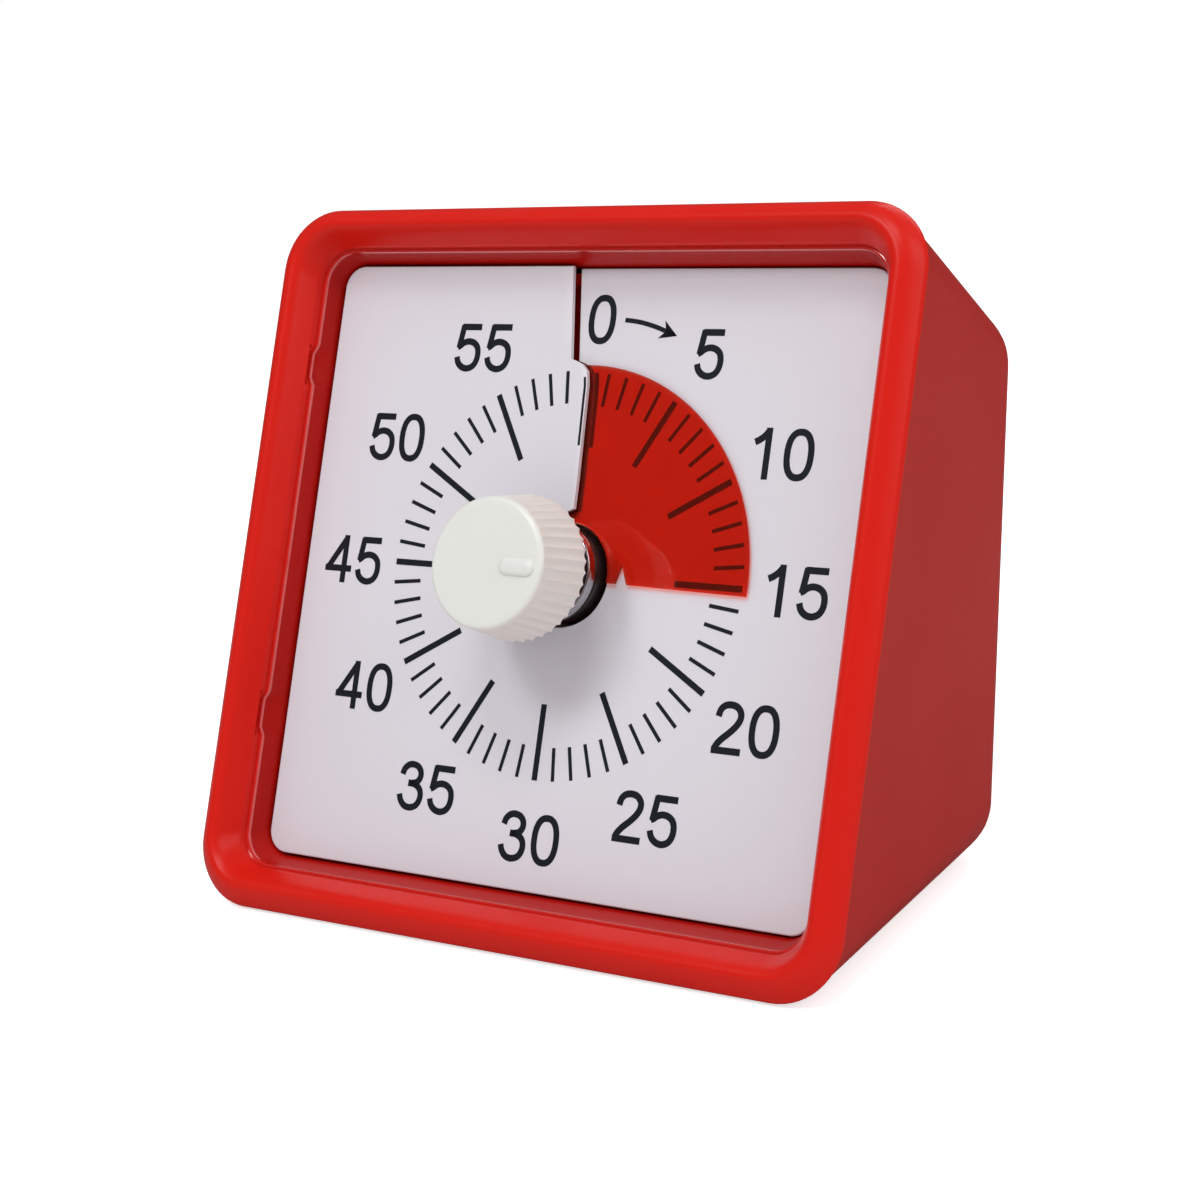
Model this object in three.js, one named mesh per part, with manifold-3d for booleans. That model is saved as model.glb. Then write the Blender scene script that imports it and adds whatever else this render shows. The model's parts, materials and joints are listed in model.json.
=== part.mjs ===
// A sixty minute visual countdown timer: a red desk case with a white dial that
// leans back, a red disc that winds out of a slit in the dial, and a centre knob.
// Millimetres, +Z up, the dial faces -Y, the case stands on the plane Z = 0.
import * as THREE from 'three';
import Module from 'manifold-3d';
import { mergeVertices } from 'three/addons/utils/BufferGeometryUtils.js';
import { ConvexGeometry } from 'three/addons/geometries/ConvexGeometry.js';

const wasm = await Module();
wasm.setup();

// ---------------------------------------------------------------- driving dimensions
const LEAN = 20;                 // degrees that the dial leans back from upright
const GAP = 0.3;                 // clearance between neighbouring pieces
const HALF_WIDTH = 40;           // bezel, from the dial centre to its side
const TOP = 38.9;                // bezel, from the dial centre up along the dial
const BOTTOM = 39.6;             // bezel, from the dial centre down along the dial
const PARTING = 4.2;             // bezel and rear housing meet this far before the dial
const CORNER = 7;                // bezel corner radius
const WALL = 2;                  // rear housing wall
const BACK_HALF_WIDTH = 35;      // rear housing at its back
const BACK_EDGE = 6.7;           // rounding of the back edges
const BACK_LOW = -35.5;          // depth of the lower back rounding's centre
const BACK_HIGH = [28.7, -26.1]; // height and depth of the upper back rounding's centre

const PITCH = 1.2;               // rise of the dial and the disc in one turn
const DIAL = { half: 34.2, top: 33, bottom: 33.3, corner: 2.4, hole: 5.5, thick: 0.5 };
const DISC = { radius: 22.45, hole: 5.7, thick: 0.2, span: 356, notchAt: 7.5, notchHalf: 0.7, notchDeep: 2 };
// The disc's leading edge passes beside the centre: this far, and this much more per millimetre out.
const DISC_EDGE = [0.42, 0.016];
const SET_ANGLE = 92;            // degrees clockwise that the disc stands out at rest
// The slit in the dial: distance from the centre, and how far right of the centre line.
const SLIT = [[5.5, -1.9], [6.5, -0.4], [7, 0.75], [10, 0.72], [20.3, 0.37], [21.7, 0.1], [22.4, -0.65],
  [22.75, -1.5], [22.95, -2.13], [33, -3.4]];

const KNOB = { front: 6.75, skirt: 7.7, back: 7, face: 13.8, bore: 2.3 };
const POINTER = { from: 1.55, to: 5.75, aside: -0.9, width: 1.8, high: 0.45 };
const ARBOR = 2;                 // radius of the centre arbor
const MOVEMENT = { half: 23, front: -4.7, rear: -17, wall: 1.2 };
const POSTS = [[-26.3, 26], [26.3, 26], [-26.3, 3.5], [26.3, 3.5]];
const POST = { radius: 3, hole: 1.5, counterbore: 2.6, meet: -12.3 };
const BATTERY = { radius: 7.15, length: 49.2, across: -15.5, deep: -9.1 };
const DOOR = { half: 27.4, low: -23.4, high: -7.4, thick: 1.3 };
const SWITCHES = [['volume', -11], ['alarm', 11]];
const SWITCH_AT = 1.5;           // height of the switches on the back
const BUZZER = { radius: 8.5, thick: 5, up: 14.5 };

// ---------------------------------------------------------------- frames
const rad = THREE.MathUtils.degToRad;
const lean = rad(LEAN);
const dialHeight = BOTTOM * Math.cos(lean) - PARTING * Math.sin(lean);

// Dial frame: X right, Y up along the dial, Z out of the dial towards the user.
const dialFrame = new THREE.Matrix4().makeRotationX(Math.PI / 2 - lean).setPosition(0, 0, dialHeight);
const onPlane = (z, n) => (z - dialHeight - n * Math.sin(lean)) / Math.cos(lean);

// Back frame: X right as seen from behind, Y up along the back, Z out of the back.
const lowCentre = new THREE.Vector3(0, onPlane(BACK_EDGE, BACK_LOW), BACK_LOW);
const highCentre = new THREE.Vector3(0, ...BACK_HIGH);
const backUp = highCentre.clone().sub(lowCentre).normalize();
const backRight = new THREE.Vector3(-1, 0, 0);
const backOut = backRight.clone().cross(backUp);
const backMiddle = lowCentre.clone().add(highCentre).multiplyScalar(0.5).addScaledVector(backOut, BACK_EDGE);
const backFrame = new THREE.Matrix4().makeBasis(backRight, backUp, backOut).setPosition(backMiddle);

// ---------------------------------------------------------------- solids
function solidOf(geometry) {
  const bare = geometry.clone();
  bare.deleteAttribute('normal');
  bare.deleteAttribute('uv');
  const merged = mergeVertices(bare, 1e-5);
  const vertProperties = new Float32Array(merged.attributes.position.array);
  const triVerts = new Uint32Array(merged.index.array);
  return new wasm.Manifold(new wasm.Mesh({ numProp: 3, vertProperties, triVerts }));
}

function geometryOf(solid) {
  const mesh = solid.getMesh();
  const geometry = new THREE.BufferGeometry();
  geometry.setAttribute('position', new THREE.BufferAttribute(new Float32Array(mesh.vertProperties), 3));
  geometry.setIndex(new THREE.BufferAttribute(new Uint32Array(mesh.triVerts), 1));
  return geometry;
}

const joined = (first, ...others) => others.reduce((sum, other) => sum.add(other), first);
const cut = (first, ...others) => others.reduce((rest, other) => rest.subtract(other), first);
const moved = (solid, matrix) => solid.transform(matrix.elements);

// A block between two corners.
function block([x0, y0, z0], [x1, y1, z1]) {
  const geometry = new THREE.BoxGeometry(x1 - x0, y1 - y0, z1 - z0);
  return solidOf(geometry.translate((x0 + x1) / 2, (y0 + y1) / 2, (z0 + z1) / 2));
}

// A round bar along Z, from z0 to z1, at x, y.
function bar(radius, z0, z1, [x, y] = [0, 0], sides = 24) {
  const geometry = new THREE.CylinderGeometry(radius, radius, z1 - z0, sides).rotateX(Math.PI / 2);
  return solidOf(geometry.translate(x, y, (z0 + z1) / 2));
}

// A turned piece about Z; its outline is [radius, z] pairs, and runs from the axis to the axis or closes.
function turned(outline, sides = 32) {
  const points = outline.map(([r, z]) => new THREE.Vector2(r, z));
  return outward(new THREE.LatheGeometry(points, sides).rotateX(Math.PI / 2));
}

// The solid of a closed skin, turned inside out first where its faces point in.
function outward(geometry) {
  const solid = solidOf(geometry);
  if (solid.volume() > 0) return solid;
  const index = geometry.index.array;
  for (let i = 0; i < index.length; i += 3) [index[i], index[i + 1]] = [index[i + 1], index[i]];
  return solidOf(geometry);
}

function grid(rows, columns, point, wrapRows, wrapColumns) {
  const positions = [];
  const index = [];
  for (let i = 0; i < rows; i++) for (let j = 0; j < columns; j++) positions.push(...point(i, j).toArray());
  const lastRow = wrapRows ? rows : rows - 1;
  const lastColumn = wrapColumns ? columns : columns - 1;
  for (let i = 0; i < lastRow; i++) {
    for (let j = 0; j < lastColumn; j++) {
      const [a, b] = [i * columns + j, i * columns + ((j + 1) % columns)];
      const [c, d] = [((i + 1) % rows) * columns + j, ((i + 1) % rows) * columns + ((j + 1) % columns)];
      index.push(a, b, d, a, d, c);
    }
  }
  const geometry = new THREE.BufferGeometry();
  geometry.setAttribute('position', new THREE.Float32BufferAttribute(positions, 3));
  geometry.setIndex(index);
  return geometry;
}

// A closed frame swept round rings that all have the same number of points.
function frameOf(rings) {
  return outward(grid(rings.length, rings[0].length, (i, j) => rings[i][j], true, true));
}

// A rounded rectangle in the dial frame, counter-clockwise.
function roundedRing(half, top, bottom, radius, n, steps = 5) {
  const corners = [[half - radius, top - radius, 0], [radius - half, top - radius, 90],
    [radius - half, radius - bottom, 180], [half - radius, radius - bottom, 270]];
  return corners.flatMap(([u, v, start]) => Array.from({ length: steps + 1 }, (_, i) => {
    const a = rad(start + (90 * i) / steps);
    return new THREE.Vector3(u + radius * Math.cos(a), v + radius * Math.sin(a), n);
  }));
}

const interpolate = (pairs, x) => {
  const i = Math.max(1, pairs.findIndex(([at]) => at >= x));
  const [[x0, y0], [x1, y1]] = [pairs[i - 1], pairs[i]];
  return y0 + ((y1 - y0) * (x - x0)) / (x1 - x0);
};

// A thin sheet on the screw surface z = PITCH * (angle / 360) + lift. Angles run clockwise from
// the top. Row i of the sheet is at the angles that angleOf(i, r) gives.
function screwSheet(rows, radii, angleOf, radiusOf, lift, thick) {
  const loop = [...radii.map((r) => [r, 1]), ...radii.map((r) => [r, -1]).reverse()];
  const point = (i, j) => {
    const [along, side] = loop[j];
    const angle = angleOf(i, along);
    const r = radiusOf(angle, along);
    return new THREE.Vector3(r * Math.sin(rad(angle)), r * Math.cos(rad(angle)),
      PITCH * (angle / 360) + lift + (side * thick) / 2);
  };
  const skin = grid(rows, loop.length, point, false, true);
  const index = Array.from(skin.index.array);
  const last = (rows - 1) * loop.length;
  for (let j = 0; j < radii.length - 1; j++) {
    const [a, b, c, d] = [j, j + 1, loop.length - 2 - j, loop.length - 1 - j];
    index.push(a, c, b, a, d, c, last + a, last + b, last + c, last + a, last + c, last + d);
  }
  skin.setIndex(index);
  return outward(skin);
}

// ---------------------------------------------------------------- scene graph
const timer = new THREE.Group();
const dial = new THREE.Group();
dial.applyMatrix4(dialFrame);
const back = new THREE.Group();
back.applyMatrix4(backFrame);
dial.add(back);
timer.add(dial);

const finish = (color, roughness, metalness = 0) => new THREE.MeshStandardMaterial({ color, roughness, metalness });
const finishes = {
  red: finish(0xc4281c, 0.3), white: finish(0xd6ccd4, 0.5), disc: finish(0xb82318, 0.35),
  knob: finish(0xe8eae5, 0.35), black: finish(0x1c1a1b, 0.45), steel: finish(0xb9bcc0, 0.3, 1),
  brass: finish(0xb8913c, 0.35, 1), copper: finish(0xb0683a, 0.4, 1), board: finish(0x1f6b3a, 0.5),
  magnet: finish(0x3b3b3e, 0.5, 0.6), nylon: finish(0xe4e0d2, 0.5), label: finish(0x3a3d42, 0.5),
};

function add(parent, name, solid, material) {
  const mesh = new THREE.Mesh(geometryOf(solid), finishes[material]);
  mesh.name = name;
  parent.add(mesh);
}

// ---------------------------------------------------------------- case
// Bezel section: distance in from the outer edge, height before the dial, corner radius, and how much
// lower its top edge sits than the nominal outline.
const TOP_DROP = 0.5;
const BEZEL_SECTION = [[0, 4.2, 7, TOP_DROP], [0, 4.6, 7, TOP_DROP], [0.5, 5.35, 6.8, 0.3], [1.4, 6.3, 6.2, 0],
  [2.3, 6.7, 5.6, 0], [3.2, 6.2, 5, 0], [4.42, 3.85, 4, 0], [4.9, 2.7, 3.6, 0], [5.5, -0.2, 2.8, 0],
  [5.5, -5, 2.8, 0], [3.9, -5, 4, 0], [2.7, 4.2, 5, 0]];

function frontBezel() {
  const rings = BEZEL_SECTION.map(([inset, n, radius, lower]) => roundedRing(
    HALF_WIDTH - inset, TOP - inset - lower, BOTTOM - inset, radius, n));
  const behind = block([-60, -60, -60], [60, 60, PARTING]);
  return cut(frameOf(rings), behind.subtract(housingHull(WALL + GAP, PARTING + 3)));
}

// The rear housing's outer or inner surface: a rounded front opening drawn to four round back corners.
function housingHull(inset, front) {
  const radius = BACK_EDGE - inset;
  const taper = (BACK_HALF_WIDTH - HALF_WIDTH + GAP) / (PARTING - GAP - BACK_LOW);
  const half = HALF_WIDTH - GAP - inset - taper * (front - PARTING + GAP);
  const ring = roundedRing(half, TOP - TOP_DROP - GAP - inset, -onPlane(inset, front), CORNER - inset, front);
  const ball = new THREE.SphereGeometry(radius, 12, 6).rotateX(Math.PI / 2);
  const upright = new THREE.Matrix4().makeRotationX(lean - Math.PI / 2);
  ball.applyMatrix4(upright);
  const samples = ball.attributes.position;
  const points = [...ring];
  for (const centre of [lowCentre, highCentre]) {
    for (const side of [-1, 1]) {
      for (let i = 0; i < samples.count; i++) {
        const point = new THREE.Vector3().fromBufferAttribute(samples, i).add(centre);
        points.push(point.setX(point.x + side * (BACK_HALF_WIDTH - BACK_EDGE)));
      }
    }
  }
  return solidOf(new ConvexGeometry(points));
}

function rearHousing() {
  const shell = housingHull(0, PARTING - GAP).subtract(housingHull(WALL, PARTING + 3));
  const outside = housingHull(0, PARTING - GAP);
  const inBack = (solid) => moved(solid, backFrame);
  const posts = POSTS.map(([u, v]) => bar(POST.radius, -50, POST.meet, [u, v]).intersect(outside));
  const screwHoles = POSTS.flatMap(([u, v]) => [bar(POST.hole, -60, 0, [u, v], 16),
    bar(POST.counterbore, -60, POST.meet - 2, [u, v], 16)]);
  const bay = inBack(block([-29, -24.2, -18.3], [29, -6.8, -1]));
  const bayInside = inBack(block([-27.8, -23, -17.1], [27.8, -8.1, -WALL]));
  const opening = inBack(block([-26, -22.8, -3], [26, -8.2, 1]));
  const seat = inBack(block([-DOOR.half - GAP, DOOR.low - GAP, -DOOR.thick - GAP],
    [DOOR.half + GAP, DOOR.high + GAP, 1]));
  const slots = SWITCHES.map(([, x]) => inBack(joined(
    block([x - 6, SWITCH_AT - 3.2, -0.9], [x + 6, SWITCH_AT + 3.2, 1]),
    block([x - 4.5, SWITCH_AT - 1.7, -3], [x + 4.5, SWITCH_AT + 1.7, 1]))));
  const soundHoles = [[0, 0], ...[0, 60, 120, 180, 240, 300].map((a) => [
    3.4 * Math.cos(rad(a)), 3.4 * Math.sin(rad(a))])].map(([x, y]) => inBack(
    bar(0.8, -4, 1, [x, BUZZER.up + y], 12)));
  const body = joined(shell, ...posts, bay.intersect(outside));
  return cut(body, ...screwHoles, bayInside, opening, seat, ...slots, ...soundHoles);
}

add(dial, 'front_bezel', frontBezel(), 'red');
add(dial, 'rear_housing', rearHousing(), 'red');

for (const [i, [u, v]] of POSTS.entries()) {
  const seat = POST.meet - 2 - GAP;
  const screw = turned([[0, seat - 1.4], [1.9, seat - 1.4], [2.2, seat - 0.9], [2.2, seat], [1.2, seat],
    [1.2, -6.4], [0.5, -5.6], [0, -5.6]], 16);
  const drive = joined(block([-1.3, -0.25, seat - 3], [1.3, 0.25, seat - 0.8]),
    block([-0.25, -1.3, seat - 3], [0.25, 1.3, seat - 0.8]));
  add(dial, `case_screw_${i + 1}`, screw.subtract(drive).translate([u, v, 0]), 'steel');
}

// ---------------------------------------------------------------- dial and disc
function dialPlate() {
  const rows = 37;
  const fractions = SLIT.map(([r]) => (r - DIAL.hole) / (DIAL.top - DIAL.hole));
  const edge = (angle) => {
    const [s, c] = [Math.sin(rad(angle)), Math.cos(rad(angle))];
    const high = c > 0 ? DIAL.top : DIAL.bottom;
    const plain = Math.min(DIAL.half / Math.abs(s || 1e-9), high / Math.abs(c || 1e-9));
    const [x, y] = [DIAL.half - DIAL.corner, high - DIAL.corner];
    if (plain * Math.abs(s) < x || plain * Math.abs(c) < y) return plain;
    const along = x * Math.abs(s) + y * Math.abs(c);
    return along + Math.sqrt(along ** 2 - x ** 2 - y ** 2 + DIAL.corner ** 2);
  };
  const corners = [1, -1].flatMap((side) => [DIAL.top, -DIAL.bottom].flatMap((high) => [-2, 0, 2].map(
    (turn) => (THREE.MathUtils.radToDeg(Math.atan2(side * DIAL.half, high)) + 360 + turn) % 360)));
  const even = Array.from({ length: rows }, (_, i) => (360 * i) / (rows - 1));
  const between = even.filter((angle) => corners.every((corner) => Math.abs(angle - corner) > 1.5));
  const angles = [...between, ...corners].sort((a, b) => a - b);
  const angleOf = (i, fraction) => {
    const near = Math.max(0, 1 - Math.min(angles[i], 360 - angles[i]) / 30);
    const r = DIAL.hole + fraction * (DIAL.top - DIAL.hole);
    const swing = THREE.MathUtils.radToDeg(Math.asin(interpolate(SLIT, r) / r));
    return angles[i] + near * swing;
  };
  const radiusOf = (angle, fraction) => DIAL.hole + fraction * (edge(angle) - DIAL.hole);
  return screwSheet(angles.length, fractions, angleOf, radiusOf, -PITCH / 2, DIAL.thick);
}

function discSheet() {
  const rows = 46;
  const { notchAt, notchHalf, notchDeep } = DISC;
  const radii = [DISC.hole, notchAt - notchHalf, notchAt, notchAt + notchHalf, DISC.radius];
  const angleOf = (i, r) => {
    const behind = DISC.span * (1 - i / (rows - 1));
    const notch = notchDeep * Math.max(0, 1 - Math.abs(r - notchAt) / notchHalf);
    const edge = 90 - SET_ANGLE + THREE.MathUtils.radToDeg((DISC_EDGE[0] + DISC_EDGE[1] * r - notch) / r);
    return SET_ANGLE - behind + edge * Math.max(0, 1 - behind / 40);
  };
  return screwSheet(rows, radii, angleOf, (angle, r) => r, 0, DISC.thick);
}

function dialSupport() {
  const inner = HALF_WIDTH - 5.5 - GAP;
  const [top, bottom] = [TOP - 5.5 - GAP, BOTTOM - 5.5 - GAP];
  const plate = frameOf([roundedRing(inner, top, bottom, 2.5, -4.1), roundedRing(inner, top, bottom, 2.5, -2.9),
    roundedRing(6.6, 6.6, 6.6, 6.5, -2.9), roundedRing(6.6, 6.6, 6.6, 6.5, -4.1)]);
  const rim = frameOf([roundedRing(33.8, 32.6, 32.9, 2, -3.5), roundedRing(33.8, 32.6, 32.9, 2, -1.3),
    roundedRing(32.6, 31.4, 31.7, 1, -1.3), roundedRing(32.6, 31.4, 31.7, 1, -3.5)]);
  const standoffs = POSTS.map(([u, v]) => bar(POST.radius, POST.meet + GAP, -3.5, [u, v]));
  const pilots = POSTS.map(([u, v]) => bar(POST.hole, POST.meet - 1, -5, [u, v], 16));
  return cut(joined(plate, rim, ...standoffs), ...pilots);
}

add(dial, 'dial_plate', dialPlate(), 'white');
add(dial, 'dial_support', dialSupport(), 'red');
add(dial, 'time_disc', discSheet(), 'disc');

// ---------------------------------------------------------------- knob and arbor
function knobSolid() {
  const { front, skirt, back: rear, face, bore } = KNOB;
  const turnedBody = turned([[0, 12.4], [bore, 12.4], [bore, rear + 1.5], [4.8, rear + 1.5], [4.8, rear],
    [skirt - 0.2, rear], [skirt, rear + 0.2], [skirt, rear + 0.8], [front + 0.15, face - 1.6], [front, face - 0.5],
    [front - 0.5, face], [0, face]], 32);
  const radius = POINTER.width / 2;
  const length = POINTER.to - POINTER.from;
  const pointer = solidOf(new THREE.CapsuleGeometry(radius, length - POINTER.width, 4, 8).rotateZ(Math.PI / 2));
  return turnedBody.add(pointer.scale([1, 1, POINTER.high / radius]).translate([
    POINTER.from + length / 2, POINTER.aside, face]));
}

add(dial, 'knob', knobSolid(), 'knob');
add(dial, 'centre_arbor', bar(ARBOR, -15.4, 12.1, [0, 0], 20), 'steel');
add(dial, 'hub_collar', turned([[ARBOR + GAP, -2.4], [5.05, -2.4], [5.05, 1.5], [4.3, 1.5], [4.3, 8.2],
  [ARBOR + GAP, 8.2], [ARBOR + GAP, -2.4]], 24), 'black');
add(dial, 'hub_ring', turned([[4.6, 1.8], [5.15, 1.8], [5.25, 2], [5.25, 3], [5.1, 3.2], [4.6, 3.2],
  [4.6, 1.8]], 24), 'steel');

// ---------------------------------------------------------------- movement
// Half of the movement's square case: its floor at one depth, and its rim at another.
function movementCase(floor, rim) {
  const { half, wall } = MOVEMENT;
  const inside = floor < rim ? floor + wall : floor - wall;
  const box = (reach, from, to) => block([-reach, -reach, Math.min(from, to)], [reach, reach, Math.max(from, to)]);
  return box(half, floor, rim).subtract(box(half - wall, inside, rim));
}

const movementParting = MOVEMENT.rear + 3;
add(dial, 'movement_front_case', cut(movementCase(MOVEMENT.front, movementParting), bar(ARBOR + 1, -20, 0)), 'nylon');
add(dial, 'movement_rear_case', movementCase(MOVEMENT.rear, movementParting - GAP), 'nylon');

// A wheel with square-cut teeth, its tips at the given radius.
function toothed(tip, teeth, z0, z1, depth = 0.8) {
  const shape = new THREE.Shape();
  for (let i = 0; i < teeth; i++) {
    [[0, 0], [0.18, 1], [0.5, 1], [0.68, 0]].forEach(([part, out]) => {
      const a = (2 * Math.PI * (i + part)) / teeth;
      const r = tip - depth * (1 - out);
      const [x, y] = [r * Math.cos(a), r * Math.sin(a)];
      if (i === 0 && part === 0) shape.moveTo(x, y);
      else shape.lineTo(x, y);
    });
  }
  const geometry = new THREE.ExtrudeGeometry(shape, { depth: z1 - z0, bevelEnabled: false });
  return solidOf(geometry.translate(0, 0, z0));
}

// The train: each wheel carries a pinion that stands beside the next wheel's tips.
const OUTPUT = { tip: 10.5, teeth: 40 };
const TRAIN = {
  second: { at: [10.5, 7.3], tip: 7.5, teeth: 30, wheel: [-11.4, -10.4], pinion: [2, 10], pinionAt: [-9.2, -7] },
  third: { at: [2.4, 12.1], tip: 6, teeth: 24, wheel: [-13.4, -12.6], pinion: [1.6, 8], pinionAt: [-11.4, -7] },
};
const ROTOR = { at: [-5.3, 12.1], magnet: 3, pinion: [1.4, 6] };

add(dial, 'output_wheel', cut(toothed(OUTPUT.tip, OUTPUT.teeth, -9.2, -8), bar(ARBOR + GAP, -12, -6)), 'nylon');
add(dial, 'clutch_spring', turned([[ARBOR + GAP, -7.5], [4.6, -7.1], [4.6, -6.8], [ARBOR + GAP, -7.2],
  [ARBOR + GAP, -7.5]], 24), 'steel');
for (const [name, gear] of Object.entries(TRAIN)) {
  const arbor = bar(0.8, -13.8, -6.4, [0, 0], 12);
  const wheel = joined(toothed(gear.tip, gear.teeth, ...gear.wheel), arbor,
    toothed(gear.pinion[0], gear.pinion[1], ...gear.pinionAt, 0.5));
  add(dial, `${name}_wheel`, wheel.translate([...gear.at, 0]), 'nylon');
}
add(dial, 'rotor', joined(bar(ROTOR.magnet, -12.2, -9.7, [0, 0], 20), bar(0.6, -13.8, -6.4, [0, 0], 10),
  toothed(ROTOR.pinion[0], ROTOR.pinion[1], -13.6, -12.3, 0.4)).translate([...ROTOR.at, 0]), 'magnet');

const [rotorU, rotorV] = ROTOR.at;
const CORE = { left: -20.4, right: -16.6, rear: -11.4, front: -10.4 };  // the stator leg inside the coil
const TUBE = { left: -20.9 - GAP, right: -16.1 + GAP, rear: -12.6 - GAP, front: -9.2 + GAP };
add(dial, 'stator', cut(joined(
  block([CORE.left, rotorV - 4.6, CORE.rear], [0.2, rotorV + 4.6, CORE.front]),
  block([CORE.left, -11.8, CORE.rear], [CORE.right, rotorV, CORE.front])),
bar(ROTOR.magnet + 0.5, -20, 0, ROTOR.at)), 'steel');
add(dial, 'coil_bobbin', cut(joined(
  block([TUBE.left + GAP, -11, TUBE.rear + GAP], [TUBE.right - GAP, 5, TUBE.front - GAP]),
  block([-21.6, -11, -14], [-15.4, -10, -7.8]), block([-21.6, 4, -14], [-15.4, 5, -7.8])),
block([CORE.left - GAP, -20, CORE.rear - GAP], [CORE.right + GAP, 20, CORE.front + GAP])), 'black');
add(dial, 'motor_coil', cut(block([-21.7, -9.7, -13.8], [-15.3, 3.7, -8]),
  block([TUBE.left, -20, TUBE.rear], [TUBE.right, 20, TUBE.front])), 'copper');
add(dial, 'motor_board', cut(block([-13, -20.6, -13.4], [20, -12, -12.4]), bar(1, -20, 0, [17, -15], 12)), 'board');
add(dial, 'control_chip', block([-4, -19, -12.1], [3, -14, -10.9]), 'black');
add(dial, 'timing_crystal', bar(1.05, -6, 0, [0, 0], 12).rotate([0, 90, 0]).translate([14, -16.3, -11]), 'steel');
add(dial, 'zero_contact', joined(block([12.4, -10.4, -10.4], [12.8, -2.6, -8.2]),
  block([9.8, -11.2, -10.4], [12.8, -10.2, -8.2])), 'brass');

// ---------------------------------------------------------------- battery bay
const { radius: cellRadius, length: cellLength, across, deep } = BATTERY;
const lying = (solid) => solid.rotate([0, 90, 0]).translate([0, across, deep]);
add(back, 'battery_cell', lying(turned([[0, -cellLength / 2], [cellRadius - 0.5, -cellLength / 2],
  [cellRadius, 0.5 - cellLength / 2], [cellRadius, cellLength / 2 - 0.7], [cellRadius - 0.6, cellLength / 2],
  [2.7, cellLength / 2], [2.7, cellLength / 2 + 1], [0, cellLength / 2 + 1]], 20)), 'label');
add(back, 'positive_contact', block([26.7, across - 4.5, deep - 5], [27.2, across + 4.5, deep + 4]), 'steel');

class SpringPath extends THREE.Curve {
  getPoint(t) {
    const a = 2 * Math.PI * 2.5 * t;
    const r = 4 - 1.6 * t;
    return new THREE.Vector3(-27 + 1.9 * t, across + r * Math.cos(a), deep + r * Math.sin(a));
  }
}

// A round wire or lead along a curve.
function wire(path, radius, steps, sides = 6) {
  const section = new THREE.Shape(new THREE.EllipseCurve(0, 0, radius, radius).getPoints(sides).slice(0, sides));
  return solidOf(new THREE.ExtrudeGeometry(section, { steps, extrudePath: path, bevelEnabled: false }));
}

add(back, 'negative_spring', wire(new SpringPath(), 0.3, 26, 5), 'steel');
add(back, 'battery_door', joined(block([-DOOR.half, DOOR.low, -DOOR.thick], [DOOR.half, DOOR.high, 0]),
  block([-5, DOOR.high - 3.4, -0.1], [5, DOOR.high - 2.4, 0.5])), 'red');

// ---------------------------------------------------------------- switches and buzzer
for (const [name, x] of SWITCHES) {
  add(back, `${name}_switch`, joined(block([x - 4, SWITCH_AT - 1.4, -1.7], [x, SWITCH_AT + 1.4, -0.1]),
    block([x - 2.6, SWITCH_AT - 0.7, -3.4], [x - 1.4, SWITCH_AT + 0.7, -1.5])), 'black');
  add(back, `${name}_switch_body`, cut(block([x - 5.5, SWITCH_AT - 2.6, -6.6], [x + 5.5, SWITCH_AT + 2.6, -2.3]),
    block([x - 3.2, SWITCH_AT - 1.1, -4.2], [x + 3.2, SWITCH_AT + 1.1, -2])), 'steel');
}
add(back, 'switch_board', block([-20, SWITCH_AT - 4.5, -8.1], [20, SWITCH_AT + 3.4, -6.9]), 'board');
add(back, 'buzzer_case', cut(bar(BUZZER.radius, -2.4 - BUZZER.thick, -2.4, [0, BUZZER.up], 32),
  bar(BUZZER.radius - 1, -1.2 - BUZZER.thick, -3.4, [0, BUZZER.up], 32),
  bar(1.2, -4, -2, [0, BUZZER.up], 12)), 'black');
add(back, 'buzzer_disc', bar(BUZZER.radius - 1.4, -5, -4.6, [0, BUZZER.up], 32), 'brass');

// Leads, as points in the dial frame.
const LEADS = {
  battery_lead_red: [[-21, -1.2, -19.6], [-22, 4, -19.2], [-19, 9, -18.6], [-15, 10, -17.7]],
  battery_lead_black: [[21, -1.2, -19.6], [22, 4, -19.2], [17, 8, -18.6], [12, 9, -17.7]],
  buzzer_lead: [[0, 20, -26], [2, 20.5, -23.5], [5, 18, -20], [4, 13, -17.9]],
  switch_lead: [[-8, 7, -28], [-9, 7.5, -25], [-8, 5, -21], [-5, 4, -17.9]],
};
for (const [name, points] of Object.entries(LEADS)) {
  const path = new THREE.CatmullRomCurve3(points.map((p) => new THREE.Vector3(...p)));
  add(dial, name, wire(path, 0.6, 9), name === 'battery_lead_red' ? 'red' : 'black');
}

// The origin is under the middle of the case.
const extent = new THREE.Box3().setFromObject(timer, true);
timer.position.y = -(extent.min.y + extent.max.y) / 2;

export default timer;
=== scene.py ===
# %% [markdown]
# # A sixty minute countdown timer
# The timer is a red moulded case with a white dial that leans back, a clear red disc that winds
# out of a slit in the dial, and a white knob in the middle. The case, the wheels and the joints
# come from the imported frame. This lesson gives each visible part its fine shape and its finish.

# %% Load the frame
import json
import math

import bmesh
import bpy
from mathutils import Matrix, Vector


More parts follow.
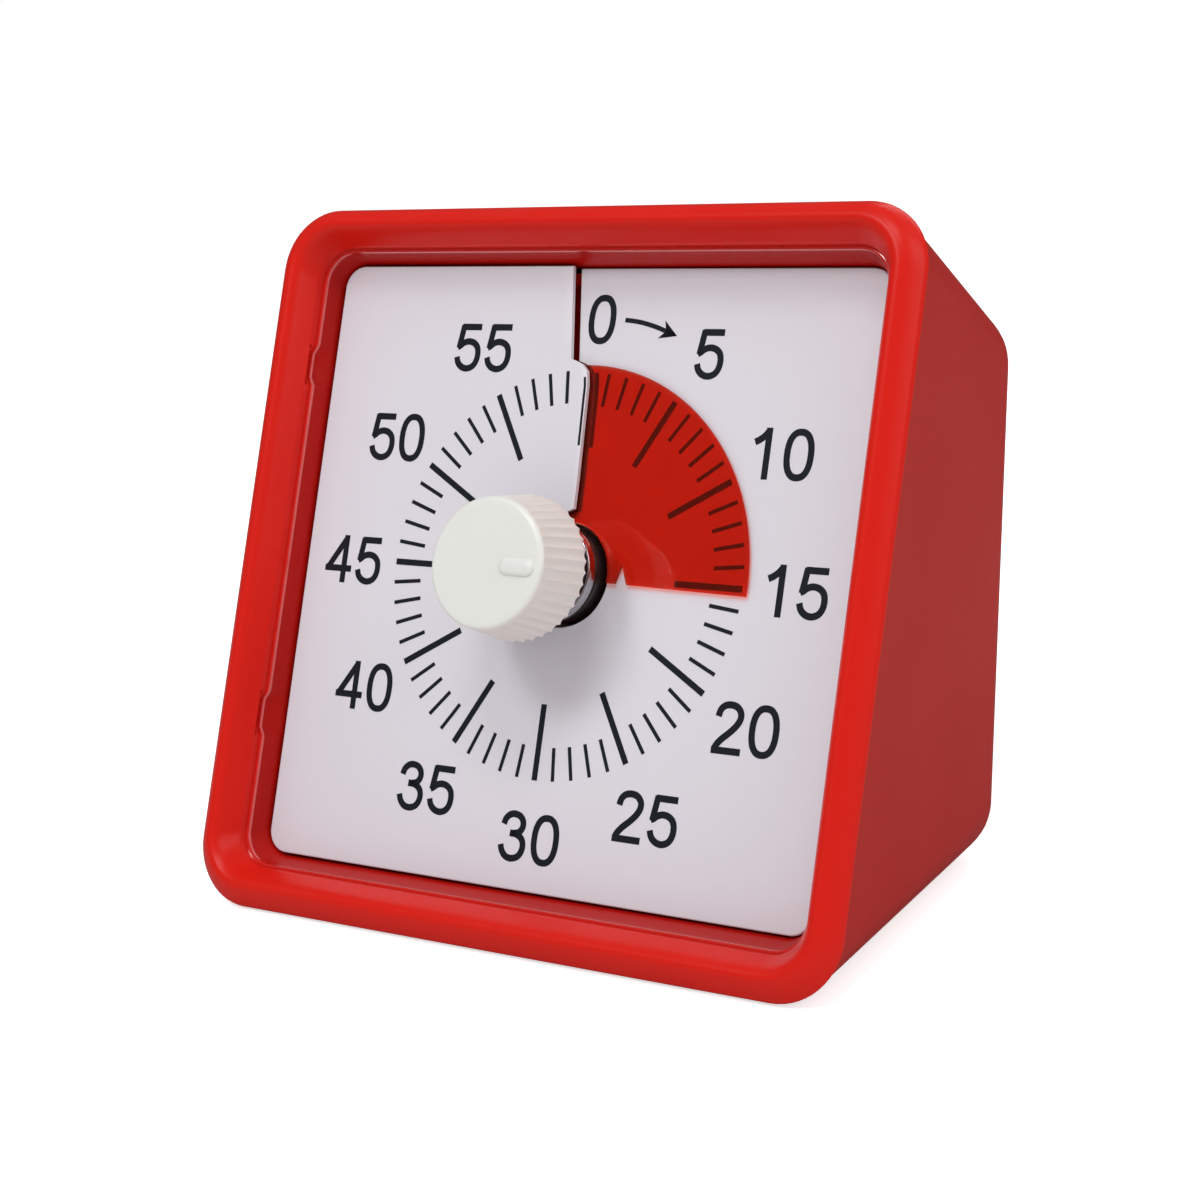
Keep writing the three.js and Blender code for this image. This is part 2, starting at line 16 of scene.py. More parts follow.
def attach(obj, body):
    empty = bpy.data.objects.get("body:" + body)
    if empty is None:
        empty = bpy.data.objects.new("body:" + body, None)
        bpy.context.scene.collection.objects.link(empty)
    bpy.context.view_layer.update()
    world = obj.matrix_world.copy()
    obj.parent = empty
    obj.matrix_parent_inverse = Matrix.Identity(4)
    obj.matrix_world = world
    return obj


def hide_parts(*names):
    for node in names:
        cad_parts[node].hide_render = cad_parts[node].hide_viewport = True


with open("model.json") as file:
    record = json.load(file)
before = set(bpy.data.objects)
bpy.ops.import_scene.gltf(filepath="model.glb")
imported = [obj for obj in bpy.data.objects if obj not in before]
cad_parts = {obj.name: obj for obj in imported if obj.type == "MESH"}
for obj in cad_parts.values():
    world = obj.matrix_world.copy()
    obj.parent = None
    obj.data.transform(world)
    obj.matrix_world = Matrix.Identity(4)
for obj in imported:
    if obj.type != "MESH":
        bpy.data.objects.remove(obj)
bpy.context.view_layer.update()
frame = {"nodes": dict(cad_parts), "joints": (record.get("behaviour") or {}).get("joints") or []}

# %% [markdown]
# ## The dial's own axes
# Most sizes on this timer are easiest to say on the dial: so far right, so far up along it, and so
# far out of it. The knob turns on the dial's axis, so its joint gives the middle and the direction,
# and nothing has to be measured twice.

# %% Dial axes
MM = 0.001
turn = next(joint for joint in frame["joints"] if joint["name"] == "knob_turn")
DIAL_CENTRE = Vector(turn["pos_m"])
RIGHT = Vector((1, 0, 0))
OUT = -Vector(turn["axis"]).normalized()
UP = OUT.cross(RIGHT)
LEAN = math.asin(OUT.z)


def on_dial(u, v, n):
    """A point u right, v up and n out of the dial, in millimetres."""
    return DIAL_CENTRE + MM * (u * RIGHT + v * UP + n * OUT)


print("the dial leans back", round(math.degrees(LEAN), 1), "degrees")

# %% [markdown]
# ## Camera, floor and light
# The camera comes first, so that every later look is taken from the same place. It stands to the
# right of the timer and a little above it. Two soft lamps stand high in front, a little to each
# side, so that the knob throws two faint shadows down the dial. One lamp lights the satin side, one
# lights the back, and the room is pale.

# %% Camera
CAMERA_AT = on_dial(144.3516, -20.6966, 213.4475)
LOOKS_ALONG = Vector((-0.545276, 0.809433, -0.217926)).normalized()
TOWARDS_RIGHT = Vector((0.835186, 0.546830, -0.058663)).normalized()


def placed(name, data):
    """Puts new data into the scene as an object."""
    made = bpy.data.objects.new(name, data)
    bpy.context.scene.collection.objects.link(made)
    return made


camera_data = bpy.data.cameras.new("studio_camera")
camera_data.sensor_width = 36
camera_data.lens = 73.87
camera = placed("studio_camera", camera_data)
camera_up = TOWARDS_RIGHT.cross(LOOKS_ALONG)
axes = Matrix((TOWARDS_RIGHT, camera_up, -LOOKS_ALONG)).transposed()
camera.matrix_world = Matrix.Translation(CAMERA_AT) @ axes.to_4x4()
bpy.context.scene.camera = camera
bpy.context.scene.view_settings.view_transform = "Standard"
print("camera is", round(camera.location.length, 3), "m away")


# %% Floor, lamps and room
def plain_tree(owner):
    """An empty node tree for a material or a world."""
    owner.use_nodes = True
    owner.node_tree.nodes.clear()
    return owner.node_tree


def node(tree, kind, inputs=None, **settings):
    """Adds a node, with its settings, and with numbers, colours or links on its inputs."""
    made = tree.nodes.new(kind)
    for name, value in settings.items():
        setattr(made, name, value)
    for name, value in (inputs or {}).items():
        if isinstance(value, bpy.types.NodeSocket):
            tree.links.new(value, made.inputs[name])
        else:
            made.inputs[name].default_value = value
    return made


def colour(red, green, blue):
    """A screen colour from 0 to 255 as the linear colour that nodes work in."""
    def linear(part):
        part /= 255
        return part / 12.92 if part <= 0.04045 else ((part + 0.055) / 1.055) ** 2.4
    return (linear(red), linear(green), linear(blue), 1)


def lamp(name, at, aim, size, watts):
    """A soft oblong lamp at a place, aimed at a point, in metres."""
    data = bpy.data.lights.new(name, "AREA")
    data.shape = "RECTANGLE"
    data.size, data.size_y = size
    data.energy = watts
    made = placed(name, data)
    made.location = at
    made.rotation_euler = (Vector(aim) - Vector(at)).to_track_quat("-Z", "Y").to_euler()


lamp("key_lamp", (-0.13, -0.52, 0.6), (0, 0, 0.03), (0.2, 0.18), 1.4)
lamp("high_lamp", (0.12, -0.33, 0.74), (0, 0, 0.03), (0.24, 0.2), 1.2)
lamp("side_lamp", (0.6, -0.05, 0.42), (0.02, 0, 0.03), (0.25, 0.5), 1.0)
lamp("back_lamp", (0.1, 0.6, 0.6), (0, 0, 0.04), (0.6, 0.3), 1.2)

GLOSS_SHARE = 0.15          # polished plastic mirrors a room that is darker than the light it gives
room = bpy.data.worlds.new("pale_room")
bpy.context.scene.world = room
tree = plain_tree(room)
seen = node(tree, "ShaderNodeLightPath")
direction = node(tree, "ShaderNodeTexCoord")
height = node(tree, "ShaderNodeSeparateXYZ", {"Vector": direction.outputs["Generated"]})
ramp = node(tree, "ShaderNodeMapRange", {
    "Value": height.outputs["Z"], "From Min": -0.2, "From Max": 1.0, "To Min": 0.36, "To Max": 0.78})
darker = node(tree, "ShaderNodeMapRange", {
    "Value": seen.outputs["Is Glossy Ray"], "To Min": 1.0, "To Max": GLOSS_SHARE})
strength = node(tree, "ShaderNodeMath", {
    0: ramp.outputs["Result"], 1: darker.outputs["Result"]}, operation="MULTIPLY")
around = node(tree, "ShaderNodeBackground", {"Strength": strength.outputs[0]})
backdrop = node(tree, "ShaderNodeBackground", {"Color": (1, 1, 1, 1), "Strength": 1.0})
mixed = node(tree, "ShaderNodeMixShader", {
    "Fac": seen.outputs["Is Camera Ray"], 1: around.outputs[0], 2: backdrop.outputs[0]})
node(tree, "ShaderNodeOutputWorld", {"Surface": mixed.outputs[0]})

FLOOR_HALF = 3.0
floor_mesh = bpy.data.meshes.new("floor")
floor_mesh.from_pydata(
    [(x, y, -0.0002) for x, y in ((-1, -1), (1, -1), (1, 1), (-1, 1))], [], [(0, 1, 2, 3)])
floor_mesh.transform(Matrix.Diagonal((FLOOR_HALF, FLOOR_HALF, 1, 1)))
placed("floor", floor_mesh)
pale = bpy.data.materials.new("pale_floor")
tree = plain_tree(pale)
speckle = node(tree, "ShaderNodeTexNoise", {"Scale": 90.0, "Detail": 3.0})
tone = node(tree, "ShaderNodeMapRange", {"Value": speckle.outputs["Fac"], "To Min": 0.84, "To Max": 0.88})
paint = node(tree, "ShaderNodeBsdfPrincipled", {"Roughness": 0.9, "Emission Color": (1, 1, 1, 1)})
seen = node(tree, "ShaderNodeLightPath")
mirrored = node(tree, "ShaderNodeMapRange", {
    "Value": seen.outputs["Is Glossy Ray"], "To Min": 1.0, "To Max": 2 * GLOSS_SHARE})
shown = node(tree, "ShaderNodeMath", {
    0: tone.outputs["Result"], 1: mirrored.outputs["Result"]}, operation="MULTIPLY")
tree.links.new(shown.outputs[0], paint.inputs["Base Color"])
glow = node(tree, "ShaderNodeMath", {0: seen.outputs["Is Camera Ray"], 1: 0.66}, operation="MULTIPLY")
tree.links.new(glow.outputs[0], paint.inputs["Emission Strength"])
node(tree, "ShaderNodeOutputMaterial", {"Surface": paint.outputs[0]})
floor_mesh.materials.append(pale)
print("lamps", [light.name for light in bpy.data.lights])

# %% [markdown]
# ## Shared effects
# Moulded plastic is never one flat colour. It has a fine grain from the mould, slow changes of
# tone, edges that handling polishes, and a little dust on what faces up. Each effect is a node
# group with named inputs, so that each material can set its own amounts.


# %% Group maker
def effect_group(name, inputs, outputs):
    """A shader node group with number sockets, its tree, and its two end nodes."""
    group = bpy.data.node_groups.new(name, "ShaderNodeTree")
    for socket, value in inputs.items():
        made = group.interface.new_socket(name=socket, in_out="INPUT", socket_type="NodeSocketFloat")
        made.default_value = value
    for socket in outputs:
        group.interface.new_socket(name=socket, in_out="OUTPUT", socket_type="NodeSocketFloat")
    return group, group.nodes.new("NodeGroupInput"), group.nodes.new("NodeGroupOutput")


# %% Moulded grain
# Height is the fine pitting of the mould. Tone wanders slowly over the part.
grain, given, gives = effect_group("moulded_grain", {"Scale": 900.0, "Tone Scale": 30.0}, ["Height", "Tone"])
place = node(grain, "ShaderNodeTexCoord")
fine = node(grain, "ShaderNodeTexNoise", {
    "Vector": place.outputs["Object"], "Scale": given.outputs["Scale"], "Detail": 3.0, "Roughness": 0.6})
slow = node(grain, "ShaderNodeTexNoise", {
    "Vector": place.outputs["Object"], "Scale": given.outputs["Tone Scale"], "Detail": 2.0})
grain.links.new(fine.outputs["Fac"], gives.inputs["Height"])
grain.links.new(slow.outputs["Fac"], gives.inputs["Tone"])

# %% Edge polish
# Pointiness is above one half on an edge that stands out, where hands and cloths rub.
polish, given, gives = effect_group("edge_polish", {"From": 0.53, "Amount": 0.5}, ["Mask"])
shape = node(polish, "ShaderNodeNewGeometry")
rubbed = node(polish, "ShaderNodeMapRange", {
    "Value": shape.outputs["Pointiness"], "From Min": given.outputs["From"], "From Max": 0.62})
scaled = node(polish, "ShaderNodeMath", {
    0: rubbed.outputs["Result"], 1: given.outputs["Amount"]}, operation="MULTIPLY")
polish.links.new(scaled.outputs[0], gives.inputs["Mask"])

# %% Settled dust
# Dust lies where the surface faces up, in thin uneven patches.
dust, given, gives = effect_group("settled_dust", {"Amount": 0.1, "Scale": 160.0}, ["Mask"])
shape = node(dust, "ShaderNodeNewGeometry")
facing = node(dust, "ShaderNodeSeparateXYZ", {"Vector": shape.outputs["Normal"]})
upward = node(dust, "ShaderNodeMapRange", {
    "Value": facing.outputs["Z"], "From Min": 0.35, "From Max": 1.0})
place = node(dust, "ShaderNodeTexCoord")
patches = node(dust, "ShaderNodeTexNoise", {
    "Vector": place.outputs["Object"], "Scale": given.outputs["Scale"], "Detail": 4.0})
thin = node(dust, "ShaderNodeMapRange", {
    "Value": patches.outputs["Fac"], "From Min": 0.45, "From Max": 0.75})
lies = node(dust, "ShaderNodeMath", {0: upward.outputs["Result"], 1: thin.outputs["Result"]},
            operation="MULTIPLY")
scaled = node(dust, "ShaderNodeMath", {0: lies.outputs[0], 1: given.outputs["Amount"]}, operation="MULTIPLY")
dust.links.new(scaled.outputs[0], gives.inputs["Mask"])
print("effects", [group.name for group in bpy.data.node_groups])

# %% [markdown]
# ## Finishes
# One recipe serves all the opaque finishes: two near colours mixed by the slow tone, a paler one
# on rubbed edges, dust on top, and roughness and bump from the same effects. The numbers say which
# plastic or metal it is.

# %% Finish recipe
DUST_COLOUR = colour(214, 205, 196)


def blended(tree, share, first, second):
    """Mixes two colours, or a linked colour and a colour, by a linked share."""
    made = node(tree, "ShaderNodeMix", {0: share}, data_type="RGBA")
    for socket, value in ((made.inputs[6], first), (made.inputs[7], second)):
        if isinstance(value, bpy.types.NodeSocket):
            tree.links.new(value, socket)
        else:
            socket.default_value = value
    return made.outputs[2]


def effect(tree, group, **amounts):
    made = node(tree, "ShaderNodeGroup", node_tree=group)
    for name, value in amounts.items():
        made.inputs[name.replace("_", " ")].default_value = value
    return made


def finish(name, main, deep, worn, rough=(0.25, 0.35), grain_scale=900.0, grain_depth=0.02,
           tone_scale=30.0, worn_amount=0.4, dusty=0.06, dust_scale=160.0, **shader):
    """A moulded, printed or metal finish: colours, roughness range, grain and dust."""
    material = bpy.data.materials.new(name)
    tree = plain_tree(material)
    moulded = effect(tree, grain, Scale=grain_scale, Tone_Scale=tone_scale)
    edges = effect(tree, polish, Amount=worn_amount)
    settled = effect(tree, dust, Amount=dusty, Scale=dust_scale)
    base = blended(tree, moulded.outputs["Tone"], main, deep)
    base = blended(tree, edges.outputs["Mask"], base, worn)
    base = blended(tree, settled.outputs["Mask"], base, DUST_COLOUR)
    roughness = node(tree, "ShaderNodeMapRange", {
        "Value": moulded.outputs["Tone"], "From Min": 0.3, "From Max": 0.7,
        "To Min": rough[0], "To Max": rough[1]})
    dulled = node(tree, "ShaderNodeMath", {
        0: roughness.outputs["Result"], 1: settled.outputs["Mask"]}, operation="ADD")
    bump = node(tree, "ShaderNodeBump", {
        "Height": moulded.outputs["Height"], "Strength": 1.0, "Distance": grain_depth * MM})
    surface = node(tree, "ShaderNodeBsdfPrincipled", {
        "Base Color": base, "Roughness": dulled.outputs[0], "Normal": bump.outputs[0], **shader})
    node(tree, "ShaderNodeOutputMaterial", {"Surface": surface.outputs[0]})
    return material


# %% Red plastics
# The bezel is smooth, its narrow lip is polished, and the housing is left satin, so the same red
# looks paler there. The inner wall takes a darker copy of the bezel red: painted shade, standing for
# the shade that falls inside the crest.
bezel_red = finish("bezel_red_gloss", colour(220, 30, 16), colour(212, 25, 14), colour(226, 54, 38),
                   rough=(0.3, 0.36), grain_depth=0.004, worn_amount=0.1, dusty=0.01,
                   **{"Specular IOR Level": 0.2})
# Painted shade: this darker red stands for the shade on the bezel's inner wall, not for another plastic.
painted_shade_wall_red = finish("bezel_red_wall_painted_shade", colour(184, 20, 12), colour(174, 16, 10), colour(196, 40, 30),
                  rough=(0.3, 0.36), grain_depth=0.004, worn_amount=0.0, dusty=0.0,
                  **{"Specular IOR Level": 0.15})
lip_red = finish("bezel_red_lip", colour(220, 34, 22), colour(212, 29, 19), colour(228, 66, 52),
                 rough=(0.14, 0.18), grain_depth=0.0, worn_amount=0.1, dusty=0.0,
                 **{"Specular IOR Level": 1.0, "Coat Weight": 1.0, "Coat Roughness": 0.12, "Coat IOR": 1.7})
housing_red = finish("housing_red_satin", colour(186, 34, 26), colour(177, 28, 22), colour(200, 60, 50),
                     rough=(0.42, 0.5), grain_scale=2600.0, grain_depth=0.02, worn_amount=0.15, dusty=0.015,
                     **{"Specular IOR Level": 0.2})

# %% White plastics and print
dial_white = finish("dial_white_matt", colour(227, 224, 232), colour(223, 220, 228), colour(243, 241, 246),
                    rough=(0.42, 0.5), grain_scale=1600.0, grain_depth=0.006, worn_amount=0.5, dusty=0.05)
knob_white = finish("knob_white_satin", colour(233, 234, 229), colour(229, 229, 223), colour(246, 246, 243),
                    rough=(0.3, 0.38), grain_scale=1500.0, grain_depth=0.006, worn_amount=0.3, dusty=0.05,
                    **{"Subsurface Weight": 0.06, "Subsurface Radius": (0.002, 0.0014, 0.001),
                       "Subsurface Scale": 1.0})
print_ink = finish("print_ink", colour(25, 30, 39), colour(20, 24, 32), colour(44, 49, 58),
                   rough=(0.45, 0.56), grain_scale=2400.0, grain_depth=0.004, worn_amount=0.1, dusty=0.0,
                   **{"Specular IOR Level": 0.2})

# %% Inner plastics
black_plastic = finish("black_plastic", colour(34, 26, 27), colour(24, 19, 20), colour(74, 68, 68),
                       rough=(0.22, 0.34), grain_depth=0.008, worn_amount=0.25)
nylon = finish("nylon_cream", colour(228, 224, 206), colour(218, 212, 192), colour(240, 238, 226),
               rough=(0.42, 0.55), grain_scale=1400.0, grain_depth=0.01,
               **{"Subsurface Weight": 0.1, "Subsurface Scale": 0.001})
magnet = finish("magnet_grey", colour(66, 66, 70), colour(52, 52, 56), colour(120, 120, 122),
                rough=(0.4, 0.6), grain_scale=3000.0, grain_depth=0.02, **{"Metallic": 0.6})
sleeve = finish("cell_sleeve", colour(52, 57, 64), colour(44, 48, 55), colour(100, 104, 110),
                rough=(0.2, 0.3), grain_depth=0.004, **{"Coat Weight": 0.4, "Coat Roughness": 0.1})
board_green = finish("board_green", colour(32, 104, 58), colour(24, 88, 48), colour(150, 168, 130),
                     rough=(0.28, 0.42), grain_scale=1200.0, grain_depth=0.015, tone_scale=220.0)
lead_red = finish("lead_red", colour(186, 30, 26), colour(168, 24, 22), colour(210, 80, 70),
                  rough=(0.35, 0.45))
lead_black = finish("lead_black", colour(30, 30, 32), colour(22, 22, 24), colour(70, 70, 72),
                    rough=(0.35, 0.45))

# %% Metals
steel = finish("bright_steel", colour(196, 198, 202), colour(182, 184, 189), colour(226, 227, 230),
               rough=(0.16, 0.3), grain_scale=2200.0, grain_depth=0.006, **{"Metallic": 1.0})
brass = finish("brass", colour(204, 168, 84), colour(186, 148, 68), colour(230, 204, 130),
               rough=(0.22, 0.36), grain_scale=2200.0, grain_depth=0.006, **{"Metallic": 1.0})
copper = finish("copper_winding", colour(196, 112, 68), colour(172, 92, 52), colour(226, 150, 108),
                rough=(0.26, 0.4), grain_scale=3200.0, grain_depth=0.05, **{"Metallic": 1.0})

# %% [markdown]
# ### Clear red film
# The disc is a thin clear red sheet. Light that reaches the dial through it comes back through it,
# so the dial shows bright red and the ticks show dark. A shadow of true clear glass is slow and
# noisy, so shadow rays pass through a plain red tint instead, which gives the same red dial.

# %% Film material
film_red = bpy.data.materials.new("film_clear_red")
tree = plain_tree(film_red)
moulded = effect(tree, grain, Scale=700.0, Tone_Scale=60.0)
settled = effect(tree, dust, Amount=0.05)
tinted = blended(tree, moulded.outputs["Tone"], colour(230, 92, 66), colour(225, 84, 60))
tinted = blended(tree, settled.outputs["Mask"], tinted, DUST_COLOUR)
gloss = node(tree, "ShaderNodeMapRange", {
    "Value": moulded.outputs["Tone"], "From Min": 0.3, "From Max": 0.7, "To Min": 0.02, "To Max": 0.05})
ripple = node(tree, "ShaderNodeBump", {
    "Height": moulded.outputs["Height"], "Strength": 0.5, "Distance": 0.001 * MM})
sheet = node(tree, "ShaderNodeBsdfPrincipled", {
    "Base Color": tinted, "Roughness": gloss.outputs["Result"], "Normal": ripple.outputs[0],
    "Metallic": 0.0, "Transmission Weight": 0.94, "IOR": 1.3})
shade = node(tree, "ShaderNodeBsdfTransparent", {"Color": colour(244, 146, 122)})
rays = node(tree, "ShaderNodeLightPath")
film = node(tree, "ShaderNodeMixShader", {
    "Fac": rays.outputs["Is Shadow Ray"], 1: sheet.outputs[0], 2: shade.outputs[0]})
node(tree, "ShaderNodeOutputMaterial", {"Surface": film.outputs[0]})
print("finishes", len(bpy.data.materials))

# %% [markdown]
# ## Skins from rings
# Nearly every part here is a row of rings: a section carried round the dial, a profile carried
# round the axis, or an outline carried down in depth. One helper joins rings into a skin, closes
# its ends, points the faces outwards, and marks the true corners as sharp.


# %% Mesh helpers
def piece_of(name, work, material, sharp=32, weighted=True):
    """Makes a named object from a bmesh, shaded smooth apart from corners over the sharp angle."""
    bmesh.ops.remove_doubles(work, verts=work.verts, dist=1e-7)
    bmesh.ops.recalc_face_normals(work, faces=work.faces)
    for face in work.faces:
        face.smooth = True
    for edge in work.edges:
        if len(edge.link_faces) == 2:
            edge.smooth = edge.calc_face_angle(0) < math.radians(sharp)
    mesh = bpy.data.meshes.new(name)
    work.to_mesh(mesh)
    work.free()
    mesh.materials.append(material)
    made = placed(name, mesh)
    if weighted:
        soften = made.modifiers.new("face_weight", "WEIGHTED_NORMAL")
        soften.keep_sharp = True
    return made


def add_rings(work, rings, around=True, closed=False, caps=True):
    """Joins rings of points with faces. closed joins the last ring to the first, caps fill the ends."""
    rows = [[work.verts.new(point) for point in ring] for ring in rings]
    count = len(rows[0])
    spans = list(zip(rows, rows[1:]))
    if closed:
        spans.append((rows[-1], rows[0]))
    for first, second in spans:
        for k in range(count if around else count - 1):
            step = (k + 1) % count
            work.faces.new((first[k], first[step], second[step], second[k]))
    if caps and not closed:
        work.faces.new(reversed(rows[0]))
        work.faces.new(rows[-1])
    return rows


def lathe(profile, sides=96, radius_at=None):
    """Rings about the dial's axis from (radius, out) pairs; radius_at may change a radius by angle."""
    rings = []
    for radius, out in profile:
        ring = []
        for k in range(sides):
            angle = 2 * math.pi * k / sides
            reach = radius_at(radius, out, k / sides) if radius_at else radius
            ring.append(on_dial(reach * math.cos(angle), reach * math.sin(angle), out))
        rings.append(ring)
    return rings


def arc(centre, radius, start, end, steps):
    """Points of a round corner in a section, from one angle to another in degrees."""
    points = []
    for k in range(steps + 1):
        angle = math.radians(start + (end - start) * k / steps)
        points.append((centre[0] + radius * math.cos(angle), centre[1] + radius * math.sin(angle)))
    return points


def stands_for(piece, body, slot, *nodes):
    """Rides the piece on its body and lets it stand for CAD nodes; the slot is not used."""
    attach(piece, body)
    if nodes:
        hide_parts(*nodes)
    print(piece.name, len(piece.data.polygons), "faces")
    return piece


# %% [markdown]
# ## The bezel
# The bezel is a picture frame with a rounded crest, a steep slope inside it, and a narrow lip that
# catches the light just above the inner wall. A section carried round a rounded rectangle gives
# all of it. Four short reliefs in the lip, where the dial carrier snaps in, are moved points. The
# lip takes its own polished finish, and the inner wall a darker red that is painted shade; each is
# chosen by which part of the section a face is in.

# %% Bezel
HALF_WIDTH, TOP, BOTTOM, CORNER, PARTING, GAP = 40.0, 38.9, 39.6, 7.0, 4.2, 0.3
RELIEFS = ((18.8, 23.4), (-20.8, -15.8))
RELIEF_DEEP = 0.6
RELIEF_RAMP = 1.0
TOP_DROP, DROP_FADE = 0.5, 1.2
CORNER_STEPS = 14


def side_stations(top, bottom):
    """Heights along the straight sides where the ring needs a point, with the share of relief there."""
    stations = [(v, 0.0) for v in (28.0, 10.0, 0.0, -9.0, -27.0)]
    for low, high in RELIEFS:
        stations += [(low, 0.0), (low + RELIEF_RAMP, 1.0), (high - RELIEF_RAMP, 1.0), (high, 0.0)]
    return sorted(stations, reverse=True)


def rounded_ring(half, top, bottom, radius, n, relief=0.0, stations=()):
    """A rounded rectangle on the dial, counter-clockwise, with points along its two upright sides."""
    points = []
    corners = ((half - radius, top - radius, 0), (radius - half, top - radius, 90),
               (radius - half, radius - bottom, 180), (half - radius, radius - bottom, 270))
    for index, (u, v, start) in enumerate(corners):
        for turned_u, turned_v in arc((u, v), radius, start, start + 90, CORNER_STEPS):
            points.append(on_dial(turned_u, turned_v, n))
        if index == 1:
            points += [on_dial(-half - relief * share, v_at, n) for v_at, share in stations]
        if index == 3:
            points += [on_dial(half + relief * share, v_at, n) for v_at, share in reversed(stations)]
    return points


def corner_radius(inset):
    """The corners tighten towards the inside: 7 mm outside, 3.6 mm at the lip, 2.8 mm at the foot."""
    return max(2.8, CORNER - 0.72 * inset)


# Each point is the distance in from the outer edge and the height before the dial. The wall's
# points also have their share of the reliefs.
CREST = ((0.1, PARTING), (0, PARTING + 0.1), (0, 4.5), (0.07, 4.75), (0.22, 4.98), (0.5, 5.3), (0.8, 5.62),
         (1.1, 5.93), (1.5, 6.25), (1.9, 6.5), (2.3, 6.62), (2.7, 6.55), (3.1, 6.22), (3.45, 5.68),
         (3.8, 5.0), (4.1, 4.42), (4.35, 3.95), (4.42, 3.8))
BEAD = ((4.46, 3.4), (4.49, 3.05), (4.51, 2.93), (4.59, 2.96), (4.68, 2.97), (4.77, 2.96), (4.85, 2.93),
        (4.885, 2.86), (4.9, 2.6))
WALL_DOWN = ((5.02, 1.9, 0.6), (5.2, 1.2, 0.2), (5.36, 0.5, 0), (5.5, -0.3, 0), (5.5, -1.2, 0),
             (4.75, -1.8, 0), (3.3, PARTING, 0))
# WALL_FACES spans of the inner wall take the darker red, which is painted shade.
WALL_FACES = 5
# The foot of the wall reaches in to the dial's edge.
TOP_TOE, BOTTOM_TOE, TOE_FROM, TOE_LONG = 0.2, 0.6, 4.9, 0.6
section = [(inset, n, 0) for inset, n in CREST] + [(inset, n, 1) for inset, n in BEAD] + list(WALL_DOWN)
stations = side_stations(TOP, BOTTOM)
rings = []
for inset, n, share in section:
    lower = TOP_DROP * max(0.0, 1 - inset / DROP_FADE)
    toe = max(0.0, inset - TOE_FROM) / TOE_LONG
    rings.append(rounded_ring(HALF_WIDTH - inset, TOP - inset - lower - TOP_TOE * toe,
                              BOTTOM - inset - BOTTOM_TOE * toe, corner_radius(inset), n,
                              RELIEF_DEEP * share, stations))
work = bmesh.new()
add_rings(work, rings, closed=True)
bezel = piece_of("bezel", work, bezel_red)
bezel.data.materials.append(lip_red)
# The third finish, the darker wall red, is painted shade for the inside of the crest.
bezel.data.materials.append(painted_shade_wall_red)
lip_from, wall_from = len(CREST) + 1, len(CREST) + len(BEAD) - 1
for face in bezel.data.polygons:
    span = face.index // len(rings[0])
    if lip_from <= span < wall_from:
        face.material_index = 1
    elif wall_from <= span < wall_from + WALL_FACES:
        face.material_index = 2
print("lip faces", sum(face.material_index == 1 for face in bezel.data.polygons))
stands_for(bezel, "case", "bezel_red", "front_bezel")

# %% [markdown]
# ## The rear housing
# The housing tapers from the bezel to four round back corners and stands on a flat base. Each wall
# runs straight from the front edge to where it touches the back corner balls, so each ring is found
# from those two. The bay, the seats and the holes are cut with closed tools that flare at the
# surface, which leaves the small moulded chamfer round every opening.

# %% Housing shape
BACK_HALF_WIDTH, BACK_EDGE, WALL = 35.0, 6.7, 2.0
LOW_DEPTH, HIGH_BALL = -35.5, (28.7, -26.1)
BASE = -DIAL_CENTRE.z / MM


def on_plane(z, n):
    """The height along the dial of a point z above the floor and n out of the dial."""
    return (z + BASE - n * math.sin(LEAN)) / math.cos(LEAN)


low_ball = Vector((on_plane(BACK_EDGE, LOW_DEPTH), LOW_DEPTH))
high_ball = Vector(HIGH_BALL)
back_up = (high_ball - low_ball).normalized()
back_out = Vector((back_up.y, -back_up.x))


def touching(edge, centre, radius, side):
    """The normal, in a flat section, of the wall from an edge point to a ball that it touches."""
    reach = edge - centre
    share = radius / reach.length
    along = reach.normalized()
    across = Vector((-along.y, along.x)) * side
    return along * share + across * math.sqrt(1 - share * share)


